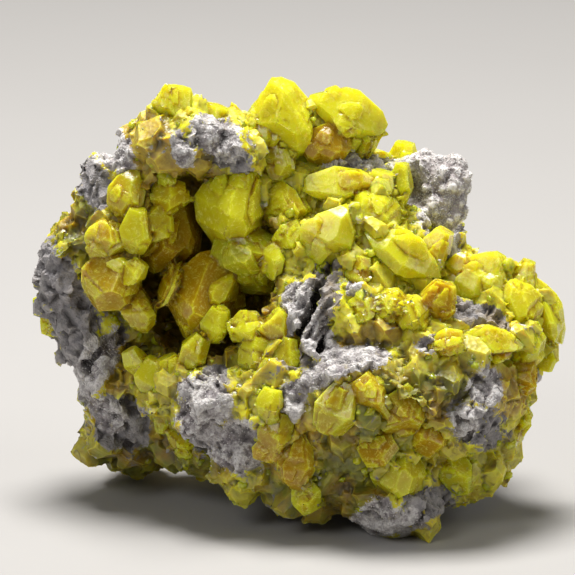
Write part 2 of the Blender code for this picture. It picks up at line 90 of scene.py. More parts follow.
# A crystal: its middle across, up and back as seen from the show side, its sizes, and its turns in degrees.
Crystal = namedtuple("Crystal", "across up back wide deep tall lean nod spin habit")
GROUPS = {
    "summit_crystals": (
        Crystal(-2.2, 64.9, 5.5, 12.6, 12.0, 14.6, -16, 8, 20, "full"),
        Crystal(-3.2, 57.6, 4.0, 7.8, 8.0, 8.8, 6, -6, 35, "plain"),
        Crystal(8.3, 66.0, 7.5, 9.8, 10.0, 13.2, 118, 0, 25, "full"),
        Crystal(4.8, 60.9, 5.5, 9.8, 9.0, 8.8, 20, -8, 40, "full"),
        Crystal(-6.2, 63.6, 5.0, 8.6, 9.0, 9.8, 14, 0, 35, "full"),
    ),
    "floor_crystals": (
        Crystal(-13.6, 30.9, -7.0, 6.0, 7.0, 6.4, 15, 10, 20, "plain"),
        Crystal(-17.2, 26.4, -7.5, 5.8, 6.0, 6.8, 32, 0, 35, "plain"),
        Crystal(-20.4, 22.4, -6.5, 6.0, 7.0, 6.4, -20, 0, 50, "plain"),
        Crystal(-24.2, 22.4, -5.0, 6.4, 7.0, 7.0, 15, 10, 25, "full"),
        Crystal(-26.8, 24.4, -3.0, 4.4, 6.0, 5.2, -30, 0, 10, "plain"),
    ),
    "ridge_crystals": (
        Crystal(6.6, 54.0, 1.5, 7.6, 8.0, 11.8, 84, 0, 20, "full"),
        Crystal(12.7, 48.2, -1.5, 10.2, 10.0, 10.6, -28, 0, 10, "full"),
        Crystal(5.6, 45.4, -4.0, 11.2, 10.0, 12.0, 25, 0, 22, "full"),
        Crystal(17.2, 42.3, -5.5, 9.4, 9.0, 14.0, 125, 0, 15, "full"),
        Crystal(22.5, 42.8, -1.5, 7.4, 7.0, 8.4, 30, 0, 20, "plain"),
        Crystal(13.6, 53.6, 1.5, 5.6, 7.0, 6.4, 10, 0, 30, "plain"),
        Crystal(17.2, 54.4, 2.5, 4.8, 6.0, 6.6, 5, 0, 20, "plain"),
    ),
    "shoulder_crystals": (
        Crystal(30.6, 37.6, 0.0, 14.4, 10.0, 12.6, 28, 0, 20, "full"),
        Crystal(37.3, 37.8, 1.0, 6.8, 7.0, 6.8, 20, 0, 30, "plain"),
        Crystal(36.6, 33.0, -3.5, 9.4, 9.0, 9.8, -20, 0, 10, "full"),
        Crystal(41.0, 32.4, 1.5, 8.2, 9.0, 13.6, -16, 0, 12, "full"),
        Crystal(38.0, 27.2, -6.5, 7.4, 9.0, 8.4, -10, 0, 15, "full"),
        Crystal(41.3, 25.6, -1.0, 3.8, 6.0, 5.6, 0, 0, 30, "plain"),
        Crystal(36.4, 22.4, -7.5, 8.2, 9.0, 8.2, 20, 0, 35, "full"),
    ),
    "front_crystals": (
        Crystal(6.6, 17.4, -20.0, 9.0, 9.0, 9.6, 24, 0, 30, "plain"),
        Crystal(12.4, 19.0, -20.5, 8.0, 9.0, 8.6, -35, 0, 12, "plain"),
        Crystal(17.4, 17.0, -20.0, 9.4, 9.0, 9.0, 40, 0, 35, "plain"),
        Crystal(21.8, 13.0, -18.5, 8.0, 8.0, 7.0, 30, 0, 15, "plain"),
        Crystal(16.8, 6.4, -19.0, 8.6, 8.0, 8.8, 15, 0, 10, "block"),
        Crystal(13.4, 10.6, -20.0, 7.0, 8.0, 6.6, 60, 0, 20, "plain"),
    ),
    "amber_crystals": (
        Crystal(-3.4, 12.6, -18.5, 7.6, 7.0, 8.4, 20, 0, 20, "plain"),
        Crystal(0.2, 8.0, -18.5, 8.0, 7.0, 10.4, 8, 0, 40, "full"),
    ),
    "knob_crystal": (Crystal(18.0, 58.6, 12.5, 6.0, 6.0, 6.0, 8, 0, 20, "plain"),),
    "vug_crystals": (
        Crystal(-10.9, 50.6, 1.5, 13.0, 16.0, 15.6, 14, 0, 8, "full"),
        Crystal(-8.4, 42.2, 1.0, 13.6, 15.0, 14.6, -34, 0, 12, "full"),
        Crystal(-2.2, 50.4, 2.5, 8.4, 13.0, 9.4, -10, 0, 30, "full"),
        Crystal(-1.4, 45.8, -3.0, 5.4, 7.0, 5.8, 50, 10, 20, "plain"),
        Crystal(-3.9, 41.6, -3.5, 5.2, 7.0, 5.8, 12, 8, 15, "block"),
        Crystal(-15.6, 35.9, 0.5, 13.6, 17.0, 14.4, 27, 0, 6, "full"),
        Crystal(-21.0, 37.8, 1.0, 3.4, 13.0, 7.6, 25, 0, 0, "block"),
        Crystal(-22.2, 46.2, 5.5, 13.6, 14.0, 14.8, 28, 0, 15, "full"),
        Crystal(-26.6, 46.4, -2.0, 7.0, 8.0, 7.0, 5, 8, 25, "plain"),
        Crystal(-23.6, 47.6, -1.0, 5.6, 7.5, 5.4, 30, 0, 50, "plain"),
        Crystal(-21.2, 52.2, 1.0, 7.4, 8.0, 5.8, 80, 0, 10, "plain"),
        Crystal(-21.7, 55.0, 0.5, 3.8, 5.0, 3.8, 10, 0, 30, "plain"),
        Crystal(-28.0, 52.0, 2.0, 8.0, 9.0, 9.8, 22, 0, 20, "full"),
        Crystal(-31.4, 44.6, 1.0, 9.0, 9.0, 8.8, 15, 0, 35, "full"),
        Crystal(-30.6, 37.9, -0.5, 12.0, 11.0, 10.8, 30, 10, 12, "full"),
        Crystal(-27.0, 39.6, -4.0, 4.6, 5.5, 4.6, 40, 0, 10, "plain"),
        Crystal(-26.3, 33.2, 0.5, 7.0, 9.0, 7.4, -12, 0, 30, "full"),
    ),
}
# The small crystals of the ledges and the roof, which are fused to the rock.
FUSED = (
    Crystal(-20.4, 66.8, 2.6, 8.4, 7.0, 6.6, 12, 0, 20, "plain"),
    Crystal(-14.4, 65.2, 3.4, 7.4, 6.0, 5.2, 24, 0, 35, "plain"),
    Crystal(-22.1, 15.6, -3.5, 5.0, 6.0, 5.6, 8, 0, 30, "plain"),
    Crystal(-8.6, 30.6, -9.0, 7.0, 8.0, 6.4, 70, 0, 15, "plain"),
    Crystal(-3.4, 30.0, -10.5, 7.0, 8.0, 7.4, 30, 0, 40, "plain"),
    Crystal(-7.0, 26.0, -11.5, 6.4, 7.0, 6.4, 20, 0, 5, "plain"),
    Crystal(-1.6, 25.2, -13.0, 5.6, 7.0, 7.2, 12, 0, 25, "plain"),
    Crystal(-5.4, 21.6, -15.0, 4.8, 6.0, 7.2, 12, 0, 25, "plain"),
    Crystal(10.2, 39.0, -8.5, 5.6, 7.0, 6.0, 10, 0, 20, "plain"),
    Crystal(10.8, 33.4, -12.5, 6.0, 8.0, 6.4, 35, 0, 15, "plain"),
    Crystal(14.8, 34.0, -13.0, 5.0, 8.0, 6.0, 50, 0, 35, "plain"),
    Crystal(18.6, 31.8, -14.0, 7.0, 8.0, 7.4, -20, 0, 10, "plain"),
    Crystal(23.2, 34.4, -11.5, 6.8, 7.0, 7.6, 20, 0, 45, "plain"),
    Crystal(31.0, 28.0, -12.0, 6.6, 8.0, 12.0, 96, 0, 20, "full"),
    Crystal(24.4, 27.6, -16.5, 6.0, 7.0, 7.0, 80, 0, 10, "plain"),
    Crystal(37.0, 15.0, -4.0, 5.4, 8.0, 7.4, 10, 0, 25, "full"),
    Crystal(35.2, 11.8, -5.0, 5.8, 8.0, 6.6, 25, 0, 5, "plain"),
    Crystal(26.4, 6.8, -13.0, 8.0, 8.0, 8.8, -20, 0, 30, "plain"),
    Crystal(31.4, 8.4, -8.0, 7.2, 9.0, 9.2, 20, 0, 15, "plain"),
    Crystal(11.3, 62.2, 8.0, 6.2, 7.0, 8.0, 10, 0, 15, "plain"),
)
FUSED_SEED = 100  # the same for the small ones
LEDGE = "ledge_crystals"  # the group that they make
LEDGE_COARSER = 1.3  # its mesh cells over those of the large crystals

# A lobe of rock: its middle across, up and back, and its half sizes, in mm.
Lobe = namedtuple("Lobe", "across up back wide deep tall")
LOBES = {
    "brow left": Lobe(-1, 18, -11, 10, 9, 9),
    "belly": Lobe(9, 11, -9, 16, 11, 11),
    "foot left": Lobe(3, 5.5, -10, 9, 9, 6.5),
    "right flank": Lobe(31, 20.5, -2, 8, 14, 11),
    "shoulder": Lobe(30, 31, 0, 9, 11, 6.5),
    "wall low": Lobe(-36, 30.5, 9, 5.2, 8, 8.5),
    "underside": Lobe(-14, 12.5, 3, 10, 9, 8),
    "back": Lobe(1, 34, 15, 31, 13, 24),
    "back foot": Lobe(15, 11, 18, 12, 9, 7.5),
    "back base": Lobe(0, 17, 13, 26, 12, 9),
    "back left": Lobe(-27, 37, 14, 10, 9, 16),
    "back top": Lobe(-12, 53, 14, 16, 9, 10),
}

# A crystal on a lobe: how far round from the show side and how high it stands, in degrees, and its sizes.
Perch = namedtuple("Perch", "lobe around rise wide tall lean spin habit")
PERCHED = (
    Perch("back", 150, 38, 9.0, 10.5, 20, 15, "full"),
    Perch("back", 163, 30, 7.0, 8.0, -15, 40, "plain"),
    Perch("back", 146, 24, 6.0, 6.5, 40, 5, "plain"),
    Perch("back", 178, 44, 6.5, 8.0, 5, 25, "plain"),
    Perch("back top", 195, 40, 8.0, 9.0, -20, 30, "full"),
    Perch("back top", 214, 30, 6.5, 7.0, 30, 10, "plain"),
    Perch("back left", 232, 12, 8.5, 9.5, 25, 20, "full"),
    Perch("back left", 224, -8, 6.0, 6.5, -30, 35, "plain"),
    Perch("wall low", 262, 5, 5.5, 6.0, 15, 15, "plain"),
    Perch("shoulder", 112, 20, 7.5, 8.5, -20, 10, "full"),
    Perch("right flank", 118, 8, 7.0, 8.0, 20, 30, "plain"),
    Perch("back foot", 165, 25, 7.0, 7.5, 10, 45, "plain"),
    Perch("back base", 205, 15, 6.5, 7.0, -20, 20, "plain"),
    Perch("belly", 20, 8, 6.0, 6.5, 25, 15, "plain"),
    Perch("foot left", -10, -4, 6.0, 6.0, -20, 35, "plain"),
    Perch("brow left", -20, 12, 5.5, 6.0, 10, 10, "plain"),
    Perch("underside", -30, 0, 5.0, 6.0, -35, 25, "plain"),
)
# How amber (1) or lemon (0) and how green each group's crystals are, and then single crystals by number.
TINTS = {
    "summit_crystals": ((0.12, 0.0), {1: (0.5, 0.1), 3: (0.9, 0.0)}),
    "vug_crystals": (
        (0.42, 0.1),
        {
            0: (0.30, 0.2),
            1: (0.30, 0.7),
            2: (0.40, 0.1),
            3: (0.20, 0.1),
            4: (0.12, 0.1),
            5: (0.66, 0.0),
            6: (0.80, 0.0),
            7: (1.0, 0.1),
            8: (0.22, 0.2),
            11: (0.25, 0.2),
            14: (0.55, 0.0),
            16: (0.55, 0.0),
        },
    ),
    "floor_crystals": ((0.4, 0.0), {}),
    "ridge_crystals": ((0.15, 0.1), {0: (0.45, 0.0), 4: (0.4, 0.1), 5: (0.1, 0.4), 6: (0.05, 0.5)}),
    "shoulder_crystals": ((0.18, 0.1), {0: (0.28, 0.0), 2: (0.4, 0.0), 6: (0.8, 0.0)}),
    "front_crystals": ((0.65, 0.5), {3: (0.85, 0.0), 4: (0.45, 0.5)}),
    "amber_crystals": ((0.85, 0.1), {}),
    "knob_crystal": ((0.05, 0.1), {}),
    LEDGE: ((0.38, 0.15), {8: (0.65, 0.1), 12: (0.8, 0.0), 2: (0.4, 0.9)}),
}

# Patches on the show side: kind, across, up, half width, half height in mm, and turn in degrees. The olive
# ones, low on the front, carry painted shade as well as the dull sulfur's colour.
Patch = namedtuple("Patch", "kind across up wide high turn")
PATCHES = (
    Patch("druse", -13.5, 61.5, 5.0, 3.2, -20),
    Patch("druse", -19.0, 59.5, 1.6, 3.6, 20),
    Patch("grey", -11.0, 58.5, 4.0, 2.4, -20),
    Patch("stain", -25.0, 60.5, 4.6, 5.2, 20),
    Patch("stain", -18.5, 57.8, 4.6, 2.6, 0),
    Patch("druse", -30.5, 59.5, 3.0, 4.5, 30),
    Patch("grey", -33.5, 54.5, 3.0, 5.0, 30),
    Patch("olive", -36.5, 46.5, 4.6, 6.0, 30),
    Patch("grey", -41.0, 37.5, 4.6, 6.5, 10),
    Patch("grey", -38.0, 29.0, 5.5, 6.5, -10),
    Patch("druse", -33.5, 24.0, 2.6, 7.5, -25),
    Patch("stain", -29.5, 23.5, 2.4, 5.0, -10),
    Patch("grey", -30.0, 14.0, 5.0, 4.5, -30),
    Patch("druse", -32.0, 15.5, 3.0, 2.4, -30),
    Patch("olive", -30.0, 8.0, 6.0, 4.0, 0),
    Patch("olive", -20.0, 9.0, 8.0, 5.0, -20),
    Patch("druse", -15.5, 17.5, 4.4, 5.5, -30),
    Patch("druse", -9.5, 10.5, 4.2, 4.6, -30),
    Patch("grey", -16.0, 12.5, 4.0, 3.5, -20),
    Patch("grey", -13.5, 22.5, 2.4, 2.0, 0),
    Patch("druse", -1.5, 17.5, 3.6, 3.0, 30),
    Patch("druse", 3.0, 22.0, 5.5, 1.8, 30),
    Patch("druse", 10.0, 25.4, 5.0, 2.0, 10),
    Patch("druse", 0.0, 35.7, 2.2, 2.4, 0),
    Patch("druse", 3.0, 29.5, 2.2, 6.0, 30),
    Patch("druse", 9.4, 37.2, 1.2, 2.0, -30),
    Patch("grey", 29.5, 32.0, 5.6, 1.8, -20),
    Patch("druse", 22.0, 27.5, 2.6, 1.6, 10),
    Patch("druse", 31.0, 20.5, 2.6, 3.4, 0),
    Patch("grey", 30.0, 14.0, 5.0, 3.4, -20),
    Patch("druse", 27.5, 14.6, 2.2, 2.2, 0),
    Patch("druse", 39.5, 23.0, 1.4, 2.4, 20),
    Patch("druse", 14.5, -1.5, 5.5, 3.2, 0),
    Patch("grey", 21.0, 1.0, 5.0, 3.0, 20),
    Patch("slate", 2.0, 33.0, 3.6, 9.5, -27),
    Patch("slate", 30.0, 32.2, 6.0, 2.2, -22),
    Patch("stain", -7.0, 30.8, 5.0, 1.8, 15),
    Patch("stain", 9.0, 27.5, 3.0, 1.6, 10),
    Patch("stain", -1.0, 12.0, 4.0, 6.0, 0),
    Patch("stain", 14.0, 29.5, 4.0, 2.0, 0),
    Patch("stain", 34.5, 19.5, 3.6, 4.0, 0),
    Patch("olive", 12.0, 17.0, 10.0, 6.0, 0),
    Patch("olive", 22.0, 19.0, 7.0, 5.0, 0),
    Patch("olive", 5.0, 3.0, 9.0, 6.0, 0),
    Patch("druse", 9.5, 58.0, 4.5, 1.6, 0),
    Patch("druse", 17.0, 57.0, 4.0, 1.6, 0),
    Patch("druse", 24.5, 49.0, 4.0, 7.0, 0),
)
KINDS = ("druse", "grey", "stain", "olive", "slate")
# What covers the other sides: kind, size of its swells in mm, seed, how frayed, and the ramp of its edge.
BEHIND = (
    ("grey", 13, 4, 0.3, -0.40, 0.2),
    ("druse", 9, 8, 0.4, 0.15, 0.5),
    ("stain", 8, 15, 0.0, 0.1, 0.5),
    ("olive", 11, 19, 0.0, 0.1, 0.5),
)
HOLLOW = Lobe(-17.4, 40.0, -2, 15.2, 14.5, 16.8)
# The courses of the crack and of its branch, across and up, in mm.
CRACK = ((5.4, 41.0), (1.6, 31.8), (-1.4, 25.5))
SIDE_CRACK = ((5.5, 31.2), (3.4, 26.4))


class SulfurSizes(bpy.types.PropertyGroup):
    rock_grain: FloatProperty(
        name="Rock grain", description="Cell size of the rock's mesh", default=0.38 * MM, unit="LENGTH"
    )
    crystal_grain: FloatProperty(
        name="Crystal grain", description="Cell size of the crystals' mesh", default=0.24 * MM, unit="LENGTH"
    )
    knob_grain: FloatProperty(
        name="Knob grain", description="Cell size of the knob's mesh", default=0.25 * MM, unit="LENGTH"
    )
    facet: FloatProperty(
        name="Facet", description="Size of facets in massive sulfur", default=2.6 * MM, unit="LENGTH"
    )
    bead: FloatProperty(
        name="Druse bead", description="Size of the druse's rounded beads", default=1.3 * MM, unit="LENGTH"
    )
    blocks: IntProperty(name="Blocks", description="Places tried for blocks on the rock", default=5000)
    rock_triangles: IntProperty(
        name="Rock triangles", description="The most that the rock's mesh has", default=192000
    )
    grains: IntProperty(name="Grains", description="Number of small grains in the chinks", default=500)
    points: IntProperty(name="Druse points", description="Number of points on the druse", default=11000)
    view_distance: FloatProperty(
        name="View distance", description="From the camera to the specimen", default=1.0, unit="LENGTH"
    )


class SulfurColours(bpy.types.PropertyGroup):
    lemon: FloatVectorProperty(
        name="Lemon", description="Clear young crystal", default=(0.74, 0.71, 0.018), subtype="COLOR"
    )
    amber: FloatVectorProperty(
        name="Amber", description="Deep crystal of the hollow", default=(0.46, 0.27, 0.003), subtype="COLOR"
    )
    green: FloatVectorProperty(
        name="Green", description="Crystal with a green cast", default=(0.42, 0.46, 0.02), subtype="COLOR"
    )
    massive: FloatVectorProperty(
        name="Massive sulfur", description="Grainy sulfur", default=(0.52, 0.46, 0.05), subtype="COLOR"
    )
    stone: FloatVectorProperty(
        name="Limestone", description="Grey rock", default=(0.20, 0.19, 0.20), subtype="COLOR"
    )
    druse: FloatVectorProperty(
        name="Druse", description="Tips of the aragonite", default=(0.80, 0.77, 0.74), subtype="COLOR"
    )
    stain: FloatVectorProperty(
        name="Stain", description="Brown stained sulfur", default=(0.36, 0.23, 0.025), subtype="COLOR"
    )
    floor: FloatVectorProperty(
        name="Floor", description="Pale floor", default=(0.42, 0.41, 0.40), subtype="COLOR"
    )


def sizes():
    return bpy.context.scene.sulfur_sizes


def colours():
    return bpy.context.scene.sulfur_colours


# ---- places and noise ----------------------------------------------------------------------------


def seen(across, up, back):
    """The point that is so far across and up on the show side, at that depth; millimetres to metres."""
    height = (up - back * math.sin(SHOW_PITCH)) / math.cos(SHOW_PITCH)
    return Vector((across - MIDDLE[0], back - MIDDLE[1], height)) * MM


def show_place(points):
    """Where each point lies on the show side, across and up, in mm."""
    across = points[:, 0] / MM + MIDDLE[0]
    up = points[:, 2] / MM * math.cos(SHOW_PITCH) + (points[:, 1] / MM + MIDDLE[1]) * math.sin(SHOW_PITCH)
    return across, up


CELL_PRIMES = (73856093, 19349663, 83492791)
SEED_PRIME = 2654435761
STIR_PRIME = 1274126177


def scatter_hash(cell, seed):
    """A number from 0 to 1 for each whole-number cell."""
    mixed = seed * SEED_PRIME
    for axis, prime in enumerate(CELL_PRIMES):
        mixed = mixed ^ (cell[..., axis] * prime)
    mixed = (mixed ^ (mixed >> 13)) * STIR_PRIME
    mixed = mixed ^ (mixed >> 16)
    return (mixed & 0xFFFFFF) / float(0xFFFFFF)


def waves(points, size, seed=0):
    """Smooth noise from -1 to 1 at each point, with swells of that size."""
    place = points / size + 31.7
    cell = np.floor(place).astype(np.int64)
    part = place - cell
    part = part * part * (3 - 2 * part)
    total = np.zeros(len(points))
    for corner in np.ndindex(2, 2, 2):
        pick = np.array(corner)
        weight = np.prod(np.where(pick, part, 1 - part), axis=1)
        total += weight * scatter_hash(cell + pick, seed)
    return total * 2 - 1


def rough(points, size, seed=0, octaves=4):
    """Fractal noise, about -1 to 1."""
    total = np.zeros(len(points))
    share = 1.0
    for octave in range(octaves):
        total += share * waves(points, size / 2**octave, seed + octave * 11)
        share *= 0.55
    return total / 1.4


def cells(points, size, seed=0):
    """The nearest of the scattered cell centres: its distance, the next one's, the way to it, its number."""
    place = points / size + 57.3
    base = np.floor(place).astype(np.int64)
    near = np.full(len(points), FAR)
    second = near.copy()
    way = np.zeros((len(points), 3))
    mark = np.zeros((len(points), 3))
    for corner in np.ndindex(3, 3, 3):
        cell = base + np.array(corner) - 1
        jitter = np.stack([scatter_hash(cell, seed + k) for k in range(3)], axis=1)
        delta = place - (cell + jitter)
        distance = np.sqrt((delta**2).sum(axis=1))
        closer = distance < near
        second = np.where(closer, near, np.minimum(second, distance))
        near = np.where(closer, distance, near)
        way[closer] = delta[closer]
        mark[closer] = jitter[closer]
    return near, second, way, mark


def facets(points, size, seed=0):
    """The height of a surface broken into tilted flat facets of that size, about -1 to 1."""
    _, _, way, mark = cells(points, size, seed)
    return (way * (mark * 2 - 1)).sum(axis=1) * 1.6 + (mark[:, 0] - 0.5) * 0.8


def ridged(points, size, seed=0):
    """Sharp-crested waves, 0 to 1."""
    return 1 - np.abs(waves(points, size, seed)) * 1.6


def beads(points, size, seed=0):
    """The height of a surface of rounded beads that meet in creases, about 0 to 1."""
    near, _, _, _ = cells(points, size, seed)
    return 1 - 1.2 * near**2


def ramp(values, low, high):
    """0 below low, 1 above high, smooth between."""
    share = np.clip((values - low) / (high - low), 0, 1)
    return share * share * (3 - 2 * share)


# ---- meshes --------------------------------------------------------------------------------------


def points_of(mesh):
    flat = np.empty(len(mesh.vertices) * 3, dtype=np.float32)
    mesh.vertices.foreach_get("co", flat)
    return flat.reshape(-1, 3).astype(np.float64)


def normals_of(mesh):
    flat = np.empty(len(mesh.vertices) * 3, dtype=np.float32)
    mesh.vertices.foreach_get("normal", flat)
    return flat.reshape(-1, 3).astype(np.float64)


def set_points(mesh, points):
    mesh.vertices.foreach_set("co", points.astype(np.float32).ravel())
    mesh.update()


def mesh_object(name, vertices, faces):
    """A new object in the scene from arrays of points and of triangles."""
    mesh = bpy.data.meshes.new(name)
    mesh.vertices.add(len(vertices))
    mesh.vertices.foreach_set("co", np.asarray(vertices, dtype=np.float32).ravel())
    mesh.loops.add(len(faces) * 3)
    mesh.loops.foreach_set("vertex_index", np.asarray(faces, dtype=np.int32).ravel())
    mesh.polygons.add(len(faces))
    mesh.polygons.foreach_set("loop_start", np.arange(len(faces), dtype=np.int32) * 3)
    mesh.update(calc_edges=True)
    obj = bpy.data.objects.new(name, mesh)
    bpy.context.scene.collection.objects.link(obj)
    return obj


def solid_arrays(name):
    """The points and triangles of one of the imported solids."""
    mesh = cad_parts[name].data
    mesh.calc_loop_triangles()
    return points_of(mesh), np.array([tri.vertices[:] for tri in mesh.loop_triangles])


def remeshed(obj, grain):
    """Melts all that the object's mesh holds into one closed surface of even cells."""
    step = obj.modifiers.new("Melt", "REMESH")
    step.mode = "VOXEL"
    step.voxel_size = grain
    step.use_smooth_shade = True
    apply_modifiers(obj)
    return obj


def apply_modifiers(obj):
    """Gives the object the mesh that its modifiers make, and removes them."""
    bpy.context.view_layer.update()
    graph = bpy.context.evaluated_depsgraph_get()
    made = bpy.data.meshes.new_from_object(obj.evaluated_get(graph))
    obj.modifiers.clear()
    obj.data = made


def relief(mesh, rounds):
    """How far in mm each vertex stands out of the surface round it, averaged over that many rounds."""
    flat = np.empty(len(mesh.edges) * 2, dtype=np.int32)
    mesh.edges.foreach_get("vertices", flat)
    one, other = flat.reshape(-1, 2).T
    ends, starts = np.concatenate([one, other]), np.concatenate([other, one])
    points = points_of(mesh)
    degree = np.maximum(np.bincount(ends, minlength=len(points)), 1)
    smooth = points
    for _ in range(rounds):
        near = [np.bincount(ends, weights=smooth[starts, k], minlength=len(points)) for k in range(3)]
        smooth = 0.4 * smooth + 0.6 * np.stack(near, axis=1) / degree[:, None]
    return ((points - smooth) * normals_of(mesh)).sum(axis=1) / MM


def paint(mesh, name, values):
    """Keeps one number for each vertex under that name, for the shader."""
    layer = mesh.attributes.get(name) or mesh.attributes.new(name, "FLOAT", "POINT")
    layer.data.foreach_set("value", np.asarray(values, dtype=np.float32))


def painted(mesh, name):
    values = np.empty(len(mesh.vertices), dtype=np.float32)
    mesh.attributes[name].data.foreach_get("value", values)
    return values.astype(np.float64)


def finish_piece(obj, material, slot, *nodes):
    obj.data.materials.clear()
    obj.data.materials.append(material)
    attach(obj, "root")
    if nodes:
        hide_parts(*nodes)


# ---- crystals ------------------------------------------------------------------------------------


def faces_of(crystal, seed):
    """The crystal's faces as (outward normal, distance from its middle)."""
    chance = random.Random(seed)
    half = Vector((crystal.wide, crystal.deep, crystal.tall)) * 0.5 * MM
    stretch = [h / n for h, n in zip(half, NOMINAL)]
    turn = (
        Matrix.Rotation(math.radians(crystal.lean), 3, "Y")
        @ Matrix.Rotation(math.radians(crystal.nod), 3, "X")
        @ Matrix.Rotation(math.radians(crystal.spin), 3, "Z")
    )
    faces = []
    for index, distance in HABITS[crystal.habit]:
        signs = [(1, -1) if i else (1,) for i in index]
        for sx in signs[0]:
            for sy in signs[1]:
                for sz in signs[2]:
                    pole = Vector(s * i / c for s, i, c in zip((sx, sy, sz), index, CELL))
                    pole.normalize()
                    pole = Vector(p / s for p, s in zip(pole, stretch))
                    away = distance * chance.uniform(1 - UNEVEN, 1 + UNEVEN) / pole.length
                    faces.append((turn @ pole.normalized(), away))
    return faces


def planes_of(faces):
    """The faces' outward normals and their distances, as arrays."""
    return np.array([normal[:] for normal, _ in faces]), np.array([distance for _, distance in faces])


def cut_crystal(middle, faces, grow=0.0):
    """The closed block that the faces leave, as a bmesh."""
    reach = BLOCK_ROOM * max(distance for _, distance in faces)
    stone = bmesh.new()
    bmesh.ops.create_cube(stone, size=2 * reach, matrix=Matrix.Translation(middle))
    for normal, distance in faces:
        trim(stone, middle + normal * (distance + grow), normal)
    bmesh.ops.recalc_face_normals(stone, faces=stone.faces[:])
    return stone


def trim(stone, place, normal):
    cut = bmesh.ops.bisect_plane(
        stone,
        geom=stone.verts[:] + stone.edges[:] + stone.faces[:],
        plane_co=place,
        plane_no=normal,
        clear_outer=True,
    )["geom_cut"]
    edges = [part for part in cut if isinstance(part, bmesh.types.BMEdge)]
    if edges:
        bmesh.ops.edgeloop_fill(stone, edges=edges)


def chipped(faces, seed, chips, depth):
    """The faces with some more: small facets at corners and edges, up to that share deep."""
    chance = random.Random(seed * 13 + 5)
    stone = cut_crystal(Vector((0, 0, 0)), faces)
    corners = [vert.co.copy() for vert in stone.verts]
    edges = [(edge.verts[0].co + edge.verts[1].co) / 2 for edge in stone.edges]
    stone.free()
    more = []
    for _ in range(chips):
        spot = chance.choice(corners if chance.random() < 0.45 else edges)
        aim = spot.normalized() + Vector(chance.uniform(-0.4, 0.4) for _ in range(3))
        aim.normalize()
        support = max(corner.dot(aim) for corner in corners)
        more.append((aim, support * chance.uniform(1 - depth, 0.985)))
    return faces + more


CHIPPED_MORE = 8  # a crystal of this size or more has more chips, in mm
SMALLER_ONES = ((6.5, 2), (9, 3), (math.inf, 6))  # up to a size in mm, how many grow out of a crystal


def individuals(crystal, number):
    """The crystal and the smaller ones that grew out of it nearly in parallel, as (middle, faces)."""
    chance = random.Random(number * 7 + 1)
    size = max(crystal.wide, crystal.deep, crystal.tall)
    middle = seen(crystal.across, crystal.up, crystal.back)
    own = faces_of(crystal, number)
    grown = [(middle, chipped(own, number, 3 if size < CHIPPED_MORE else 5, 0.07))]
    for k in range(next(count for limit, count in SMALLER_ONES if size < limit)):
        share = chance.uniform(0.30, 0.66)
        tilt = [angle + chance.uniform(-5, 5) for angle in crystal[6:9]]
        spans = [side * share * chance.uniform(0.8, 1.25) for side in crystal[3:6]]
        small = Crystal(0, 0, 0, *spans, *tilt, crystal.habit)
        faces = faces_of(small, number * 10 + k)
        aim = Vector(chance.gauss(0, 1) for _ in range(3))
        aim.y -= 0.6
        aim.normalize()
        inner = min(distance / max(normal.dot(aim), 1e-3) for normal, distance in own)
        outer = min(distance / max(normal.dot(aim), 1e-3) for normal, distance in faces)
        proud = chance.uniform(0.02, 0.06) * size * MM
        grown.append((middle + aim * (inner - outer + proud), chipped(faces, number * 10 + k, 2, 0.08)))
    return grown


def arrays_of(stone):
    """The points and triangles of a bmesh, which is freed."""
    bmesh.ops.triangulate(stone, faces=stone.faces[:])
    stone.verts.index_update()
    points = np.array([vert.co[:] for vert in stone.verts])
    triangles = np.array([[vert.index for vert in face.verts] for face in stone.faces])
    stone.free()
    return points, triangles


def joined(parts):
    """One pair of arrays from many."""
    shift = 0
    all_points, all_faces = [], []
    for points, triangles in parts:
        all_points.append(points)
        all_faces.append(triangles + shift)
        shift += len(points)
    return np.concatenate(all_points), np.concatenate(all_faces)


def perched(perch):
    """The crystal that stands on its lobe as the perch says, its middle a little inside the surface."""
    lobe = LOBES[perch.lobe]
    around, rise = math.radians(perch.around), math.radians(perch.rise)
    east = lobe.wide * math.sin(around) * math.cos(rise)
    north = -lobe.deep * math.cos(around) * math.cos(rise)
    lift = lobe.tall * math.sin(rise)
    up = lobe.up + lift * math.cos(SHOW_PITCH) + north * math.sin(SHOW_PITCH)
    size = (perch.wide, perch.wide, perch.tall)
    return Crystal(lobe.across + east, up, lobe.back + north, *size, perch.lean, 0, perch.spin, perch.habit)


def numbered_crystals():
    """Each group's crystals with the number that fixes their uneven faces."""
    number = SEED
    groups = {}
    for name, crystals in GROUPS.items():
        groups[name] = []
        for crystal in crystals:
            number += 1
            groups[name].append((crystal, number))
    small = FUSED + tuple(map(perched, PERCHED))
    groups[LEDGE] = [(crystal, FUSED_SEED + k) for k, crystal in enumerate(small)]
    return groups


def owners(points, solids):
    """For each point the crystal and the face that it lies on, and how far it is from that face's edge."""
    best = np.full(len(points), FAR)
    owner = np.zeros(len(points), dtype=int)
    edge = np.zeros(len(points))
    normal = np.zeros((len(points), 3))
    for k, (middle, faces) in enumerate(solids):
        poles, away = planes_of(faces)
        near = np.nonzero(np.linalg.norm(points - np.array(middle[:]), axis=1) < away.max() * 2.2)[0]
        heights = (points[near] - np.array(middle[:])) @ poles.T - away
        order = np.argsort(heights, axis=1)
        rows = np.arange(len(near))
        top = heights[rows, order[:, -1]]
        rim = top - heights[rows, order[:, -2]]
        closer = np.abs(top) < best[near]
        picked = near[closer]
        best[picked] = np.abs(top)[closer]
        owner[picked] = k
        edge[picked] = rim[closer]
        normal[picked] = poles[order[:, -1]][closer]
    return owner, edge, normal


